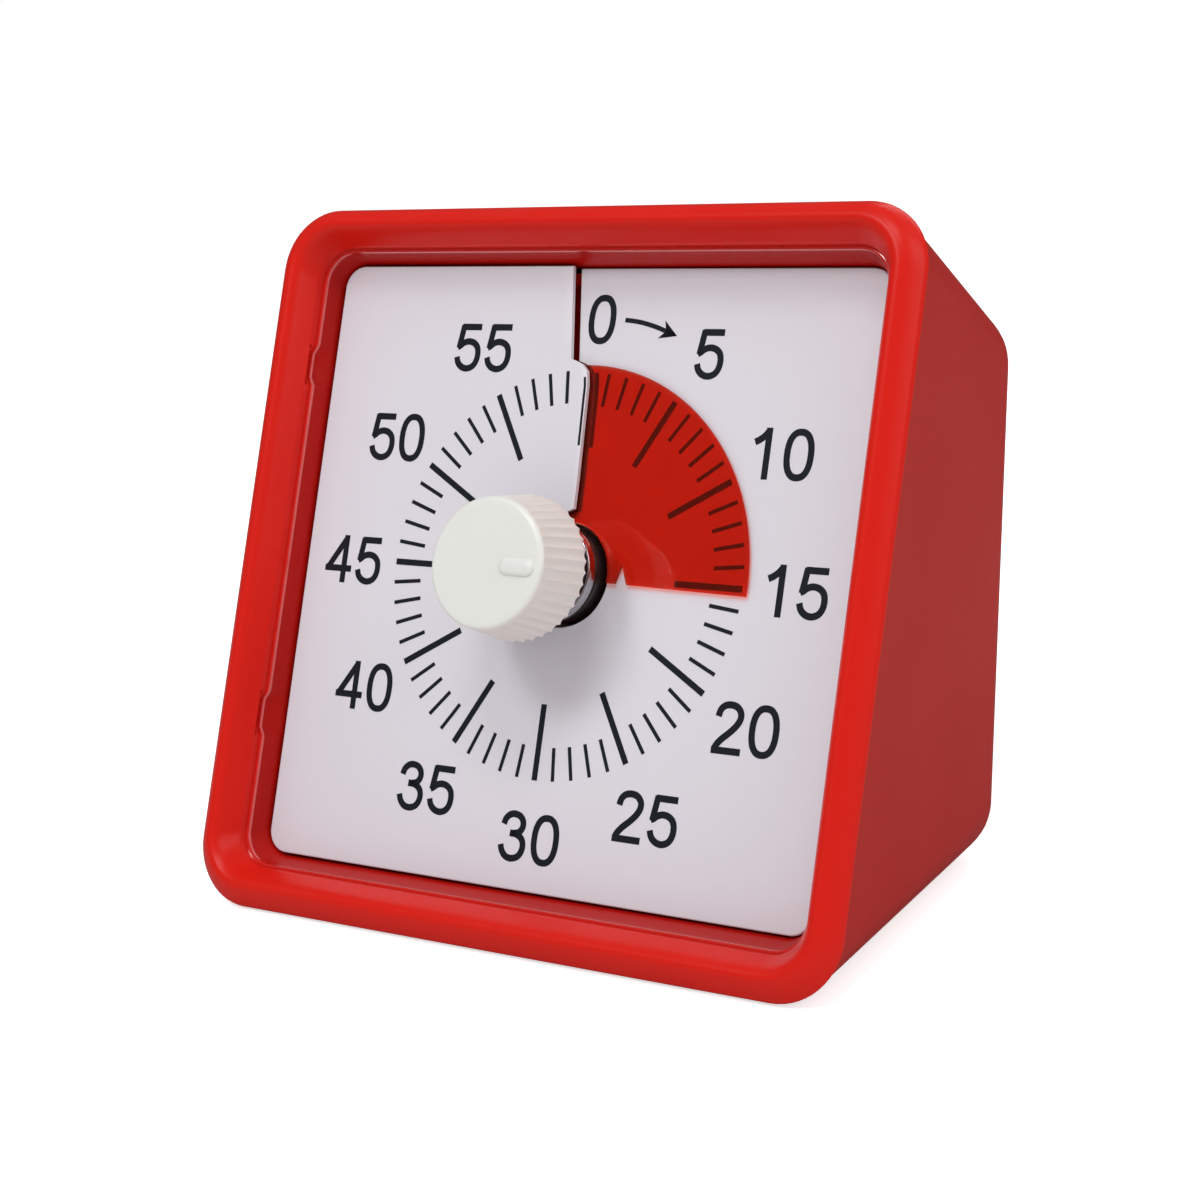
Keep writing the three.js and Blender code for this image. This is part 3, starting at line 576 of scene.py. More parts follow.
def housing_skin(inset, front, steps=12):
    """Closed skin of the housing, set in by inset, from its front plane to its back."""
    radius = BACK_EDGE - inset
    taper = (BACK_HALF_WIDTH - HALF_WIDTH + GAP) / (PARTING - GAP - LOW_DEPTH)
    half = HALF_WIDTH - GAP - inset - taper * (front - PARTING + GAP)
    top, low = TOP - TOP_DROP - GAP - inset, on_plane(inset, front)
    bend = CORNER - inset
    ball_u = BACK_HALF_WIDTH - BACK_EDGE
    front_ring, touch_ring, normals, balls = [], [], [], []
    for corner, (side, high) in enumerate(((1, 1), (-1, 1), (-1, -1), (1, -1))):
        ball = high_ball if high > 0 else low_ball
        edge_v = top if high > 0 else low
        centre = Vector((side * (half - bend), edge_v - high * bend))
        beside = touching(Vector((half, front)), Vector((ball_u, ball.y)), radius, -1)
        above = touching(Vector((high * edge_v, front)), Vector((high * ball.x, ball.y)), radius, -1)
        flat_side = Vector((side * beside.x, 0, beside.y))
        flat_high = Vector((0, high * above.x, above.y))
        for step in range(steps + 1):
            share = step / steps if corner % 2 == 0 else 1 - step / steps
            angle = math.radians(90 * share)
            normal = flat_side.slerp(flat_high, share)
            middle = Vector((side * ball_u, ball.x, ball.y))
            front_ring.append(Vector((centre.x + side * bend * math.cos(angle),
                                      centre.y + high * bend * math.sin(angle), front)))
            touch_ring.append(middle + radius * normal)
            normals.append(normal)
            balls.append(middle)
    outward = Vector((0, back_out.x, back_out.y))
    rows = [[a.lerp(b, share) for a, b in zip(front_ring, touch_ring)]
            for share in (0, 0.01, 0.1, 0.3, 0.5, 0.7, 0.9, 1)]
    for step in range(1, 10):
        rows.append([m + radius * n.slerp(outward, step / 10) for m, n in zip(balls, normals)])
    rows.append([m + radius * outward for m in balls])
    work = bmesh.new()
    verts = [[work.verts.new(on_dial(*point)) for point in row] for row in rows]
    count = len(front_ring)
    for first, second in zip(verts, verts[1:]):
        for k in range(count):
            step = (k + 1) % count
            work.faces.new((first[k], first[step], second[step], second[k]))
    work.faces.new(reversed(verts[0]))
    work.faces.new([verts[-1][k * (steps + 1)] for k in range(4)])
    bmesh.ops.remove_doubles(work, verts=work.verts, dist=1e-7)
    bmesh.ops.dissolve_degenerate(work, edges=work.edges, dist=1e-8)
    bmesh.ops.recalc_face_normals(work, faces=work.faces)
    return work


# %% [markdown]
# The back has axes of its own: right as seen from behind, up along the back, and out of it. The
# battery door, the switches and the sound holes are all placed on them.

# %% Back axes
BACK_RIGHT = -RIGHT
BACK_UP = back_up.x * UP + back_up.y * OUT
BACK_OUT = back_out.x * UP + back_out.y * OUT
back_middle = (low_ball + high_ball) / 2 + back_out * BACK_EDGE
BACK_CENTRE = on_dial(0, back_middle.x, back_middle.y)


def on_back(x, y, z):
    """A point x right, y up and z out of the back, in millimetres."""
    return BACK_CENTRE + MM * (x * BACK_RIGHT + y * BACK_UP + z * BACK_OUT)


def outline(x0, y0, x1, y1, radius, steps=5):
    """A rounded rectangle's points, counter-clockwise."""
    points = []
    for centre, start in (((x1 - radius, y1 - radius), 0), ((x0 + radius, y1 - radius), 90),
                          ((x0 + radius, y0 + radius), 180), ((x1 - radius, y0 + radius), 270)):
        points += arc(centre, radius, start, start + 90, steps)
    return points


def prism(place, shape, levels):
    """A closed prism from an outline; each level is (depth, how far the outline has grown)."""
    middle = [sum(axis) / len(shape) for axis in zip(*shape)]
    work = bmesh.new()
    rings = []
    for depth, grown in levels:
        ring = []
        for x, y in shape:
            away = Vector((x - middle[0], y - middle[1]))
            ring.append(place(x + grown * (away.x > 0) - grown * (away.x < 0),
                              y + grown * (away.y > 0) - grown * (away.y < 0), depth))
        rings.append(ring)
    add_rings(work, rings)
    bmesh.ops.remove_doubles(work, verts=work.verts, dist=1e-7)
    bmesh.ops.recalc_face_normals(work, faces=work.faces)
    return work


def round_prism(place, x, y, levels, sides=28):
    """A closed turned tool at x, y; each level is (depth, radius)."""
    work = bmesh.new()
    add_rings(work, [[place(x + radius * math.cos(2 * math.pi * k / sides),
                            y + radius * math.sin(2 * math.pi * k / sides), depth)
                      for k in range(sides)] for depth, radius in levels])
    bmesh.ops.recalc_face_normals(work, faces=work.faces)
    return work


# %% Boolean helper
def tool_of(work):
    """A throw-away object from a bmesh."""
    mesh = bpy.data.meshes.new("tool")
    work.to_mesh(mesh)
    work.free()
    return placed("tool", mesh)


def combined(base, steps):
    """Cuts, joins or overlaps the base with each tool in turn, and returns the result as a bmesh."""
    target = tool_of(base)
    for operation, work in steps:
        tool = tool_of(work)
        change = target.modifiers.new("change", "BOOLEAN")
        change.operation = operation
        change.solver = "EXACT"
        change.object = tool
        result = bpy.data.meshes.new_from_object(target.evaluated_get(bpy.context.evaluated_depsgraph_get()))
        target.modifiers.clear()
        target.data = result
        bpy.data.objects.remove(tool)
    done = bmesh.new()
    done.from_mesh(target.data)
    bpy.data.objects.remove(target)
    return done


# %% Housing
FRONT = PARTING - GAP
POSTS = ((-26.3, 26.0), (26.3, 26.0), (-26.3, 3.5), (26.3, 3.5))
POST_RADIUS, POST_MEET, SCREW_HOLE, COUNTERBORE = 3.0, -12.3, 1.5, 2.6
DOOR_HALF, DOOR_LOW, DOOR_HIGH, DOOR_THICK = 27.4, -23.4, -7.4, 1.3
SWITCHES = (("volume", -11.0), ("alarm", 11.0))
SWITCH_AT = 1.5
SOUND_AT, SOUND_RING, SOUND_HOLE = 14.5, 3.4, 0.8
INSIDE = 0.02          # posts and bay stop just short of the skin, so the faces never coincide

shell = combined(housing_skin(0, FRONT), [("DIFFERENCE", housing_skin(WALL, PARTING + 3))])
bay = prism(on_back, outline(-29, -24.2, 29, -6.8, 0.8), [(-18.3, 0), (-1, 0)])
joins = [("UNION", combined(bay, [("INTERSECT", housing_skin(INSIDE, FRONT))]))]
for u, v in POSTS:
    post = round_prism(on_dial, u, v, [(-50, POST_RADIUS), (POST_MEET, POST_RADIUS)])
    joins.append(("UNION", combined(post, [("INTERSECT", housing_skin(INSIDE, FRONT))])))
FLARE = [(-0.25, 0), (0.02, 0.27), (1, 0.27)]          # the small chamfer at the surface
tools = []
for u, v in POSTS:
    tools.append(round_prism(on_dial, u, v, [(-60, SCREW_HOLE), (0, SCREW_HOLE)], 20))
    tools.append(round_prism(on_dial, u, v, [(-60, COUNTERBORE), (POST_MEET - 2, COUNTERBORE)]))
tools.append(prism(on_back, outline(-27.8, -23, 27.8, -8.1, 0.6), [(-17.1, 0), (-WALL, 0)]))
tools.append(prism(on_back, outline(-26, -22.8, 26, -8.2, 0.8), [(-3, 0), (1, 0)]))
seat = outline(-DOOR_HALF - GAP, DOOR_LOW - GAP, DOOR_HALF + GAP, DOOR_HIGH + GAP, 1.4)
tools.append(prism(on_back, seat, [(-DOOR_THICK - GAP, 0)] + FLARE))
for _, x in SWITCHES:
    recess = outline(x - 6, SWITCH_AT - 3.2, x + 6, SWITCH_AT + 3.2, 1)
    tools.append(prism(on_back, recess, [(-0.9, -0.1), (-0.8, 0)] + FLARE))
    slot = outline(x - 4.5, SWITCH_AT - 1.7, x + 4.5, SWITCH_AT + 1.7, 0.3)
    tools.append(prism(on_back, slot, [(-3, 0), (1, 0)]))
for k in range(7):
    angle = math.radians(60 * k)
    ring = SOUND_RING if k < 6 else 0
    flared = SOUND_HOLE + 0.22
    tools.append(round_prism(on_back, ring * math.cos(angle), SOUND_AT + ring * math.sin(angle),
                             [(-4, SOUND_HOLE), (-0.2, SOUND_HOLE), (0.02, flared), (1, flared)]))
work = combined(shell, joins + [("DIFFERENCE", tool) for tool in tools])
stands_for(piece_of("housing", work, housing_red, sharp=28), "case", "housing_red", "rear_housing")

# %% [markdown]
# ## The dial
# The dial is one white sheet cut along a slit and sprung into a shallow screw, so that one side of
# the slit stands 1.2 mm proud of the other and the disc can wind in below it. Rows of points at
# each angle, lifted by the angle, give that screw. The sheet's rim is rounded.

# %% Dial sheet
PITCH = 1.2
DIAL_HALF, DIAL_TOP, DIAL_BOTTOM, DIAL_CORNER, DIAL_HOLE, DIAL_THICK = 34.2, 33.0, 33.3, 2.4, 5.5, 0.5
SLIT = ((5.5, -1.9), (6.5, -0.4), (7, 0.75), (10, 0.72), (20.3, 0.37), (21.7, 0.1), (22.4, -0.65),
        (22.75, -1.5), (22.95, -2.13), (33, -3.4))
SLIT_SWING = 30
SLIT_GAP = 0.3


def between(pairs, x):
    """Reads a broken line of (x, y) pairs."""
    for (x0, y0), (x1, y1) in zip(pairs, pairs[1:]):
        if x <= x1:
            return y0 + (y1 - y0) * (x - x0) / (x1 - x0)
    return pairs[-1][1]


def slit_angle(radius):
    """How many degrees past the top the slit lies at this distance from the centre."""
    return math.degrees(math.asin(between(SLIT, radius) / radius))


def dial_edge(angle):
    """Distance from the centre to the dial's rounded outer edge."""
    sine, cosine = abs(math.sin(math.radians(angle))), abs(math.cos(math.radians(angle)))
    high = DIAL_TOP if math.cos(math.radians(angle)) > 0 else DIAL_BOTTOM
    plain = min(DIAL_HALF / max(sine, 1e-9), high / max(cosine, 1e-9))
    x, y = DIAL_HALF - DIAL_CORNER, high - DIAL_CORNER
    if plain * sine < x or plain * cosine < y:
        return plain
    along = x * sine + y * cosine
    return along + math.sqrt(along * along - x * x - y * y + DIAL_CORNER * DIAL_CORNER)


def dial_height(u, v):
    """Height of the dial's front face at a point."""
    angle = math.degrees(math.atan2(u, v)) % 360
    radius = math.hypot(u, v)
    start = slit_angle(min(max(radius, DIAL_HOLE), DIAL_TOP))
    if angle < start:
        angle += 360
    if angle > 360 + start:
        angle -= 360
    return PITCH * angle / 360 - PITCH / 2 + DIAL_THICK / 2


def screw_point(angle, radius, lift):
    turned_angle = math.radians(angle)
    return on_dial(radius * math.sin(turned_angle), radius * math.cos(turned_angle),
                   PITCH * angle / 360 + lift)


def swung(angle, radius):
    """Leans the rows near the slit so that the first and last rows lie along it."""
    near = max(0.0, 1 - min(angle, 360 - angle) / SLIT_SWING)
    gap = math.degrees(SLIT_GAP / radius) if angle < SLIT_SWING else 0.0
    return angle + near * (slit_angle(radius) + gap)


ROUND = 0.16
RIM = ((-ROUND, DIAL_THICK / 2), (-0.05, DIAL_THICK / 2 - 0.05), (0.0, DIAL_THICK / 2 - ROUND),
       (0.0, ROUND - DIAL_THICK / 2), (-0.05, 0.05 - DIAL_THICK / 2), (-ROUND, -DIAL_THICK / 2))
reach = [radius for radius, _ in SLIT[1:-1]] + [12.0, 14.5, 17.5, 25.0, 28.0, 30.5]
reach = sorted(reach)
corner_angles = [math.degrees(math.atan2(side * DIAL_HALF, high)) % 360
                 for side in (1, -1) for high in (DIAL_TOP, -DIAL_BOTTOM)]
angles = {round(3.0 * k, 3) for k in range(121)}
for corner_angle in corner_angles:
    angles |= {round(corner_angle + d, 3) for d in (-3, -2.4, -1.8, -1.2, -0.6, 0, 0.6, 1.2, 1.8, 2.4, 3)}
rows = []
for angle in sorted(angles):
    def at(radius, lift, angle=angle):
        share = (radius - DIAL_HOLE) / (DIAL_TOP - DIAL_HOLE)
        leaned = swung(angle, radius)
        edge = dial_edge(leaned)
        return screw_point(leaned, DIAL_HOLE + share * (edge - DIAL_HOLE), lift - PITCH / 2)
    top_side = [at(radius, DIAL_THICK / 2) for radius in [DIAL_HOLE + 0.1] + reach]
    rim = [at(DIAL_TOP + step, lift) for step, lift in RIM]
    under_side = [at(radius, -DIAL_THICK / 2) for radius in ([DIAL_HOLE + 0.1] + reach)[::-1]]
    rows.append(top_side + rim + under_side)
work = bmesh.new()
verts = add_rings(work, rows, caps=False)
half_count = len(rows[0])
for row in (verts[0], verts[-1]):
    for k in range(half_count // 2 - 1):
        work.faces.new((row[k], row[k + 1], row[half_count - 2 - k], row[half_count - 1 - k]))
stands_for(piece_of("dial_sheet", work, dial_white, sharp=50), "case", "dial_white", "dial_plate")

# %% [markdown]
# ## The print on the dial
# The minute marks, the numbers and the arrow are printed in dark ink. Ink has almost no thickness,
# but as thin closed slabs that follow the dial's screw they stay crisp from any distance and need
# no picture. The figures are drawn as pen strokes of even width.

# %% Ink slabs
INK_PROUD = 0.025
INK_SUNK = 0.06
FIGURE_HIGH = 5.3
PEN = 0.135


def slab(work, corners):
    """A thin closed slab of ink on the dial, from its outline in dial millimetres."""
    front = [work.verts.new(on_dial(u, v, dial_height(u, v) + INK_PROUD)) for u, v in corners]
    rear = [work.verts.new(on_dial(u, v, dial_height(u, v) - INK_SUNK)) for u, v in corners]
    work.faces.new(front)
    work.faces.new(reversed(rear))
    for k in range(len(corners)):
        step = (k + 1) % len(corners)
        work.faces.new((front[k], rear[k], rear[step], front[step]))


def ribbon(work, points, width, closed=False):
    """A pen stroke along points, as one ring of quads front and back."""
    count = len(points)
    sides = ([], [])
    for k, point in enumerate(points):
        before = points[(k - 1) % count] if closed or k else point
        after = points[(k + 1) % count] if closed or k < count - 1 else point
        along = Vector((after[0] - before[0], after[1] - before[1])).normalized()
        across = Vector((-along.y, along.x)) * width / 2
        sides[0].append((point[0] + across.x, point[1] + across.y))
        sides[1].append((point[0] - across.x, point[1] - across.y))
    rings = []
    for left, right in zip(*sides):
        corners = ((left, INK_PROUD), (right, INK_PROUD), (right, -INK_SUNK), (left, -INK_SUNK))
        rings.append([on_dial(*spot, dial_height(*spot) + lift) for spot, lift in corners])
    add_rings(work, rings, closed=closed)


def curve_through(points, steps=6):
    """A smooth line through points (Catmull-Rom)."""
    line = []
    for k in range(len(points) - 1):
        p0, p1 = points[max(k - 1, 0)], points[k]
        p2, p3 = points[k + 1], points[min(k + 2, len(points) - 1)]
        for step in range(steps):
            t = step / steps
            line.append(tuple(0.5 * (2 * b + (c - a) * t + (2 * a - 5 * b + 4 * c - d) * t * t
                                     + (3 * b - a - 3 * c + d) * t ** 3)
                              for a, b, c, d in zip(p0, p1, p2, p3)))
    line.append(points[-1])
    return line


# %% Figures
# Each figure is a list of strokes in a box one unit high, centred on its own middle.
def oval(half_wide, half_high, steps=36, power=2.35):
    points = []
    for k in range(steps):
        angle = 2 * math.pi * k / steps
        c, s = math.cos(angle), math.sin(angle)
        points.append((half_wide * math.copysign(abs(c) ** (2 / power), c),
                       half_high * math.copysign(abs(s) ** (2 / power), s)))
    return points


FIGURES = {
    "0": [(oval(0.255, 0.4375), True)],
    "1": [([(0.075, -0.5), (0.075, 0.5)], False),
          (curve_through([(0.07, 0.44), (-0.02, 0.335), (-0.12, 0.26), (-0.215, 0.215)]), False)],
    "2": [(curve_through([(-0.245, 0.2), (-0.21, 0.33), (-0.12, 0.415), (0.01, 0.438), (0.14, 0.405),
                          (0.225, 0.31), (0.235, 0.19), (0.17, 0.06), (0.04, -0.08), (-0.12, -0.22),
                          (-0.215, -0.33), (-0.265, -0.438)]), False),
          ([(-0.32, -0.4375), (0.31, -0.4375)], False)],
    "3": [(curve_through([(-0.245, 0.215), (-0.205, 0.335), (-0.115, 0.415), (-0.01, 0.438),
                          (0.12, 0.405), (0.2, 0.31), (0.205, 0.19), (0.13, 0.09), (0.0, 0.055),
                          (-0.08, 0.055)]), False),
          (curve_through([(-0.03, 0.055), (0.09, 0.04), (0.205, -0.03), (0.255, -0.14), (0.24, -0.28),
                          (0.16, -0.39), (0.02, -0.438), (-0.12, -0.41), (-0.22, -0.31),
                          (-0.265, -0.19)]), False)],
    "4": [([(0.13, -0.5), (0.13, 0.5)], False),
          ([(-0.36, -0.2), (0.33, -0.2)], False),
          ([(-0.3, -0.22), (0.13, 0.44)], False)],
    "5": [([(-0.2, 0.4275), (0.28, 0.4275)], False),
          ([(-0.165, 0.47), (-0.235, -0.01)], False),
          (curve_through([(-0.27, 0.0), (-0.21, 0.03), (-0.12, 0.095), (0.0, 0.125), (0.13, 0.095),
                          (0.225, 0.01), (0.258, -0.12), (0.24, -0.27), (0.165, -0.385),
                          (0.03, -0.438), (-0.11, -0.41), (-0.215, -0.32), (-0.26, -0.2)]), False)],
}
ADVANCE = 0.765


def write_number(work, text, u, v):
    """Writes a number with its middle at u, v."""
    for place_in, figure in enumerate(text):
        shift = (place_in - (len(text) - 1) / 2) * ADVANCE
        for stroke, closed in FIGURES[figure]:
            points = [(u + FIGURE_HIGH * (x + shift), v + FIGURE_HIGH * y) for x, y in stroke]
            ribbon(work, points, PEN * FIGURE_HIGH, closed)


# %% Numbers and arrow
NUMBERS_AT = {"0": (0.4, 27.45), "5": (14.19, 23.94), "10": (24.06, 13.88), "15": (27.65, 0.15),
              "20": (24.23, -13.94), "25": (14.06, -24.05), "30": (0.31, -27.73), "35": (-13.65, -24.04),
              "40": (-23.74, -13.95), "45": (-27.61, -0.17), "50": (-23.9, 13.74), "55": (-13.8, 23.94)}
work = bmesh.new()
for text, (u, v) in NUMBERS_AT.items():
    write_number(work, text, u, v)
ARROW = ((3.3, 27.42), (5.2, 27.2), (7.2, 26.72), (8.7, 26.2))
ribbon(work, curve_through(ARROW), 0.5)
TIP = Vector((9.95, 25.78))
along = (TIP - Vector(ARROW[-1])).normalized()
across = Vector((-along.y, along.x))
BARB_BACK, BARB_ASIDE, HOLLOW_BACK = 2.1, 1.0, 1.5
root = TIP - HOLLOW_BACK * along
for side in (1, -1):
    barb = TIP - BARB_BACK * along + side * BARB_ASIDE * across
    slab(work, [tuple(point) for point in ((TIP, barb, root) if side > 0 else (TIP, root, barb))])
stands_for(piece_of("dial_numbers", work, print_ink, weighted=False), "case", "black_plastic")

# %% Minute marks
MARK_OUTER, MINOR_INNER, MAJOR_INNER = 21.7, 18.2, 13.7
MINOR_WIDE, MAJOR_WIDE = 0.41, 0.67
work = bmesh.new()
for minute in range(1, 60):
    angle = math.radians(6 * minute)
    inner, wide = (MAJOR_INNER, MAJOR_WIDE) if minute % 5 == 0 else (MINOR_INNER, MINOR_WIDE)
    ray, across = Vector((math.sin(angle), math.cos(angle))), Vector((math.cos(angle), -math.sin(angle)))
    ends = []
    for radius, side in ((inner, -1), (inner, 1), (MARK_OUTER, 1), (MARK_OUTER, -1)):
        point = ray * radius + across * (side * wide / 2)
        ends.append((point.x, point.y))
    slab(work, ends)

# The slit runs through the mark at zero, so half of it lies on each side, at two heights.
for aside, wide, outer in ((-0.27, 0.28, 21.0), (0.56, 0.44, MARK_OUTER)):
    steps = [MAJOR_INNER + (outer - MAJOR_INNER) * k / 8 for k in range(9)]
    ribbon(work, [(between(SLIT, v) + aside, v) for v in steps], wide)
stands_for(piece_of("minute_marks", work, print_ink, weighted=False), "case", "black_plastic")

# %% [markdown]
# ## The clear red disc
# The disc is almost one full turn of the same screw as the dial, half a pitch above it in front of
# the slit and half a pitch below it behind. Its leading edge passes a little beside the centre and
# has a small notch near the hub.

# %% Disc film
DISC_RADIUS, DISC_HOLE, DISC_THICK, DISC_SPAN = 22.45, 5.7, 0.2, 356.0
SET_ANGLE = 92.0
EDGE_ASIDE, EDGE_SPREAD = 0.42, 0.016
NOTCH_AT, NOTCH_HALF, NOTCH_DEEP, NOTCH_FADE = 7.5, 0.7, 2.0, 40.0


def disc_angle(behind, radius):
    notch = NOTCH_DEEP * max(0.0, 1 - abs(radius - NOTCH_AT) / NOTCH_HALF)
    edge = 90 - SET_ANGLE + math.degrees((EDGE_ASIDE + EDGE_SPREAD * radius - notch) / radius)
    return SET_ANGLE - behind + edge * max(0.0, 1 - behind / NOTCH_FADE)


reach = [DISC_HOLE, NOTCH_AT - NOTCH_HALF, NOTCH_AT, NOTCH_AT + NOTCH_HALF,
         11.0, 15.0, 19.0, DISC_RADIUS - 0.05]
edge_round = [(DISC_RADIUS, 0.04), (DISC_RADIUS, -0.04)]
rows = []
for k in range(120):
    behind = DISC_SPAN * (1 - k / 119)
    row = [screw_point(disc_angle(behind, radius), radius, DISC_THICK / 2) for radius in reach]
    row += [screw_point(disc_angle(behind, radius), radius, lift) for radius, lift in edge_round]
    row += [screw_point(disc_angle(behind, radius), radius, -DISC_THICK / 2) for radius in reach[::-1]]
    rows.append(row)
work = bmesh.new()
verts = add_rings(work, rows, caps=False)
across_count = len(rows[0])
for row in (verts[0], verts[-1]):
    for k in range(across_count // 2 - 1):
        work.faces.new((row[k], row[k + 1], row[across_count - 2 - k], row[across_count - 1 - k]))
stands_for(piece_of("disc_film", work, film_red, sharp=50), "disc", "disc_red", "time_disc")

# %% [markdown]
# ## The knob
# The knob flares towards the dial and has forty shallow flutes for grip that fade out at the
# rounded front edge. A turned profile whose radius changes with the angle gives the flutes as real
# shape. The pointer is a low pill on the face.

# %% Knob
FLUTES = 40
FLUTE_DEEP = 0.24
KNOB_SKIRT, KNOB_BACK, KNOB_FACE = 7.7, 7.0, 13.8
FLUTE_FROM, FLUTE_END, FLUTE_FADE = 6.2, 13.45, 0.9
EDGE_AT, EDGE_ROUND, SIDE_FROM, SIDE_HIGH = 6.28, 0.6, 6.9, 12.9
HOLLOW_RADIUS, HOLLOW_DEEP = 4.8, 1.5
# A push-on knob sits a little low and askew on its shaft.
KNOB_LOW, KNOB_TILT, KNOB_ASIDE = 0.3, 0.06, 0.35


def fluted(radius, out, share):
    """Scoops the side between forty ridges; the front edge and the hollow stay round."""
    if radius < FLUTE_FROM or out > FLUTE_END:
        return radius
    fade = min(1.0, (FLUTE_END - out) / FLUTE_FADE)
    return radius - FLUTE_DEEP * fade * abs(math.sin(math.pi * FLUTES * share)) ** 0.9


profile = [(EDGE_AT - 0.63, KNOB_FACE)]
profile += arc((EDGE_AT, KNOB_FACE - EDGE_ROUND), EDGE_ROUND, 90, 8, 8)
for step in range(1, 8):
    share = step / 7
    profile.append((SIDE_FROM + (KNOB_SKIRT - 0.04 - SIDE_FROM) * share,
                    SIDE_HIGH + (KNOB_BACK + 0.55 - SIDE_HIGH) * share))
profile += arc((KNOB_SKIRT - 0.34, KNOB_BACK + 0.34), 0.34, 0, -90, 4)
profile += [(5.3, KNOB_BACK), (5.05, KNOB_BACK + 0.1), (HOLLOW_RADIUS, KNOB_BACK + 0.4),
            (HOLLOW_RADIUS, KNOB_BACK + HOLLOW_DEEP), (2.3, KNOB_BACK + HOLLOW_DEEP), (2.3, 12.4)]
rings = lathe(profile, FLUTES * 8, fluted)
for (radius, out), ring in zip(profile, rings):
    sagged = KNOB_LOW + KNOB_TILT * (out - KNOB_BACK)
    if out > KNOB_BACK + HOLLOW_DEEP or radius > HOLLOW_RADIUS:
        ring[:] = [point - MM * sagged * (UP + KNOB_ASIDE * RIGHT) for point in ring]
work = bmesh.new()
add_rings(work, rings)
stands_for(piece_of("knob_cap", work, knob_white, sharp=40), "knob_unit", "knob_white", "knob")

# %% Knob pointer
POINTER_FROM, POINTER_TO, POINTER_ASIDE, POINTER_WIDE, POINTER_HIGH = 1.55, 5.75, -0.9, 1.8, 0.4
work = bmesh.new()
rings = []
flat = (POINTER_TO - POINTER_FROM - POINTER_WIDE) / 2
middle_u = (POINTER_FROM + POINTER_TO) / 2
for level in range(9):
    share = level / 8
    if share < 0.25:
        grow = 1.12 - 0.48 * share
    else:
        grow = math.cos(math.radians(120 * (share - 0.25))) ** 0.75
    lift = -0.1 + (POINTER_HIGH + 0.1) * math.sin(math.radians(90 * share)) ** 1.3
    wide = max(POINTER_WIDE / 2 * grow, 0.01)
    ring = []
    for k in range(32):
        angle = 2 * math.pi * (k + 0.5) / 32
        end = flat if math.cos(angle) > 0 else -flat
        ring.append(on_dial(middle_u + end + wide * math.cos(angle), POINTER_ASIDE + wide * math.sin(angle),
                            KNOB_FACE + lift))
    rings.append(ring)
add_rings(work, rings)
stands_for(piece_of("knob_pointer", work, knob_white, sharp=60), "knob_unit", "knob_white")

# %% [markdown]
# ## The hub
# Between the knob and the disc sit a black collar that drives the disc and a bright clip ring. Both
# are turned parts with small edge rounds that catch the light.

# %% Hub
collar = [(2.3, -2.4), (4.85, -2.4), (5.05, -2.2)] + arc((4.8, 1.25), 0.25, 0, 90, 4)
collar += [(4.4, 1.5), (4.3, 1.6), (4.3, 8.1), (4.2, 8.2), (2.4, 8.2), (2.3, 8.1)]
work = bmesh.new()
add_rings(work, lathe(collar), closed=True)
stands_for(piece_of("disc_collar", work, black_plastic), "knob_unit", "black_plastic", "hub_collar")
clip = [(4.62, 1.8), (5.05, 1.8)] + arc((5.02, 2.03), 0.23, -80, 0, 4) + arc((5.02, 2.95), 0.23, 0, 85, 4)
clip += [(4.62, 3.2)]
work = bmesh.new()
add_rings(work, lathe(clip), closed=True)
stands_for(piece_of("clip_ring", work, steel), "knob_unit", "steel", "hub_ring")

# %% [markdown]
# ## The back
# The battery door is a plain slab with round corners and finger ridges. The two slide
# switches are black caps with ribs. All are closed prisms whose outlines shrink near the surface,
# which rounds their edges.

# %% Battery door
def take_in(work, part):
    """Adds a second bmesh to the first."""
    mesh = bpy.data.meshes.new("part")
    part.to_mesh(mesh)
    part.free()
    work.from_mesh(mesh)


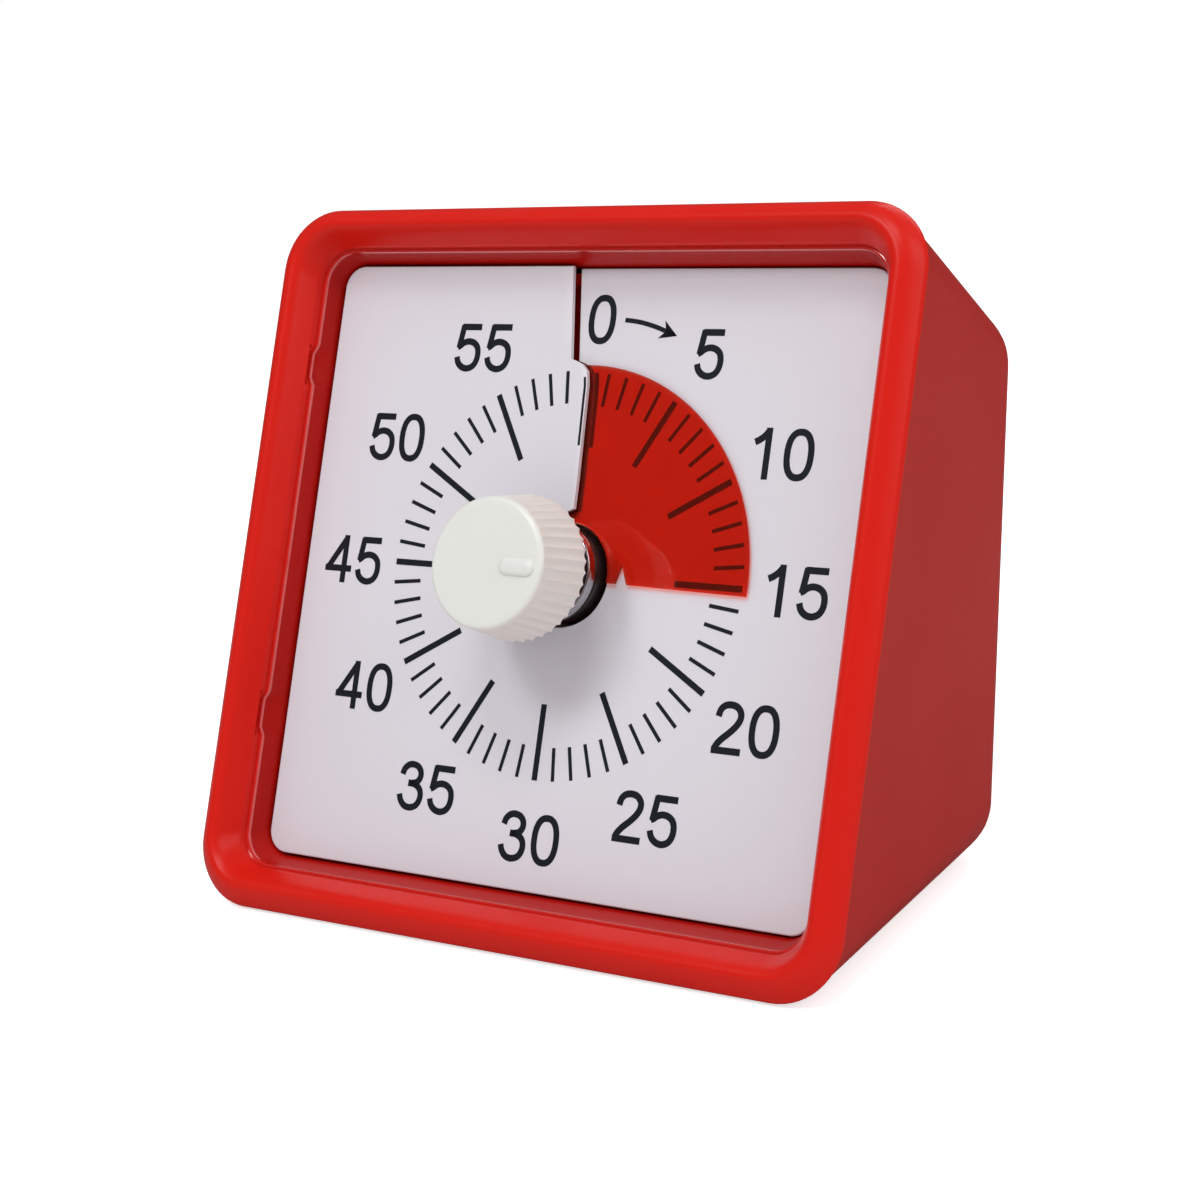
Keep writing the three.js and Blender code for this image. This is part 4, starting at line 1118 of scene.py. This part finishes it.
door_shape = outline(-DOOR_HALF, DOOR_LOW, DOOR_HALF, DOOR_HIGH, 1.2)
work = prism(on_back, door_shape,
             [(-DOOR_THICK, -0.1), (-DOOR_THICK + 0.1, 0), (-0.3, 0), (-0.1, -0.08), (0, -0.3)])
RIDGE_HALF = 5.0
for k in range(5):
    y = DOOR_HIGH - 2.2 - 1.1 * k
    half = RIDGE_HALF - 0.55 * k
    ridge = outline(-half, y - 0.28, half, y + 0.28, 0.27)
    take_in(work, prism(on_back, ridge, [(-0.3, 0), (0.2, 0), (0.4, -0.1), (0.48, -0.22)]))
stands_for(piece_of("battery_cover", work, housing_red), "battery_door", "housing_red", "battery_door")

# %% Switch caps
for name, x in SWITCHES:
    cap = outline(x - 4, SWITCH_AT - 1.4, x, SWITCH_AT + 1.4, 0.35)
    work = prism(on_back, cap, [(-1.7, 0), (-0.75, 0), (-0.62, -0.1), (-0.58, -0.25)])
    stem = outline(x - 2.6, SWITCH_AT - 0.7, x - 1.4, SWITCH_AT + 0.7, 0.1)
    take_in(work, prism(on_back, stem, [(-3.4, 0), (-1.5, 0)]))
    for k in range(5):
        rib_x = x - 3.4 + 0.7 * k
        rib = outline(rib_x - 0.16, SWITCH_AT - 1.15, rib_x + 0.16, SWITCH_AT + 1.15, 0.12)
        take_in(work, prism(on_back, rib, [(-0.8, 0), (-0.22, 0), (-0.1, -0.08)]))
    slider = piece_of(f"{name}_slider", work, black_plastic)
    stands_for(slider, f"{name}_switch", "black_plastic", f"{name}_switch")

# %% [markdown]
# ## The parts inside
# The movement, the battery, the switches' bodies and the leads already have their right shape in
# the frame, so they only take a finish. The record says which finish each of them has.

# %% Inner finishes
FINISHES = {"bezel_red": bezel_red, "housing_red": housing_red, "dial_white": dial_white,
            "disc_red": film_red, "knob_white": knob_white, "black_plastic": black_plastic,
            "nylon": nylon, "steel": steel,
            "brass": brass, "copper": copper, "board_green": board_green, "magnet": magnet,
            "cell_sleeve": sleeve, "lead_red": lead_red, "lead_black": lead_black}
dressed = 0
for name, part in frame["nodes"].items():
    slot_name = part.data.materials[0].name.split(".")[0]
    part.data.materials.clear()
    part.data.materials.append(FINISHES[slot_name])
    dressed += 1
print("frame nodes with a finish", dressed)
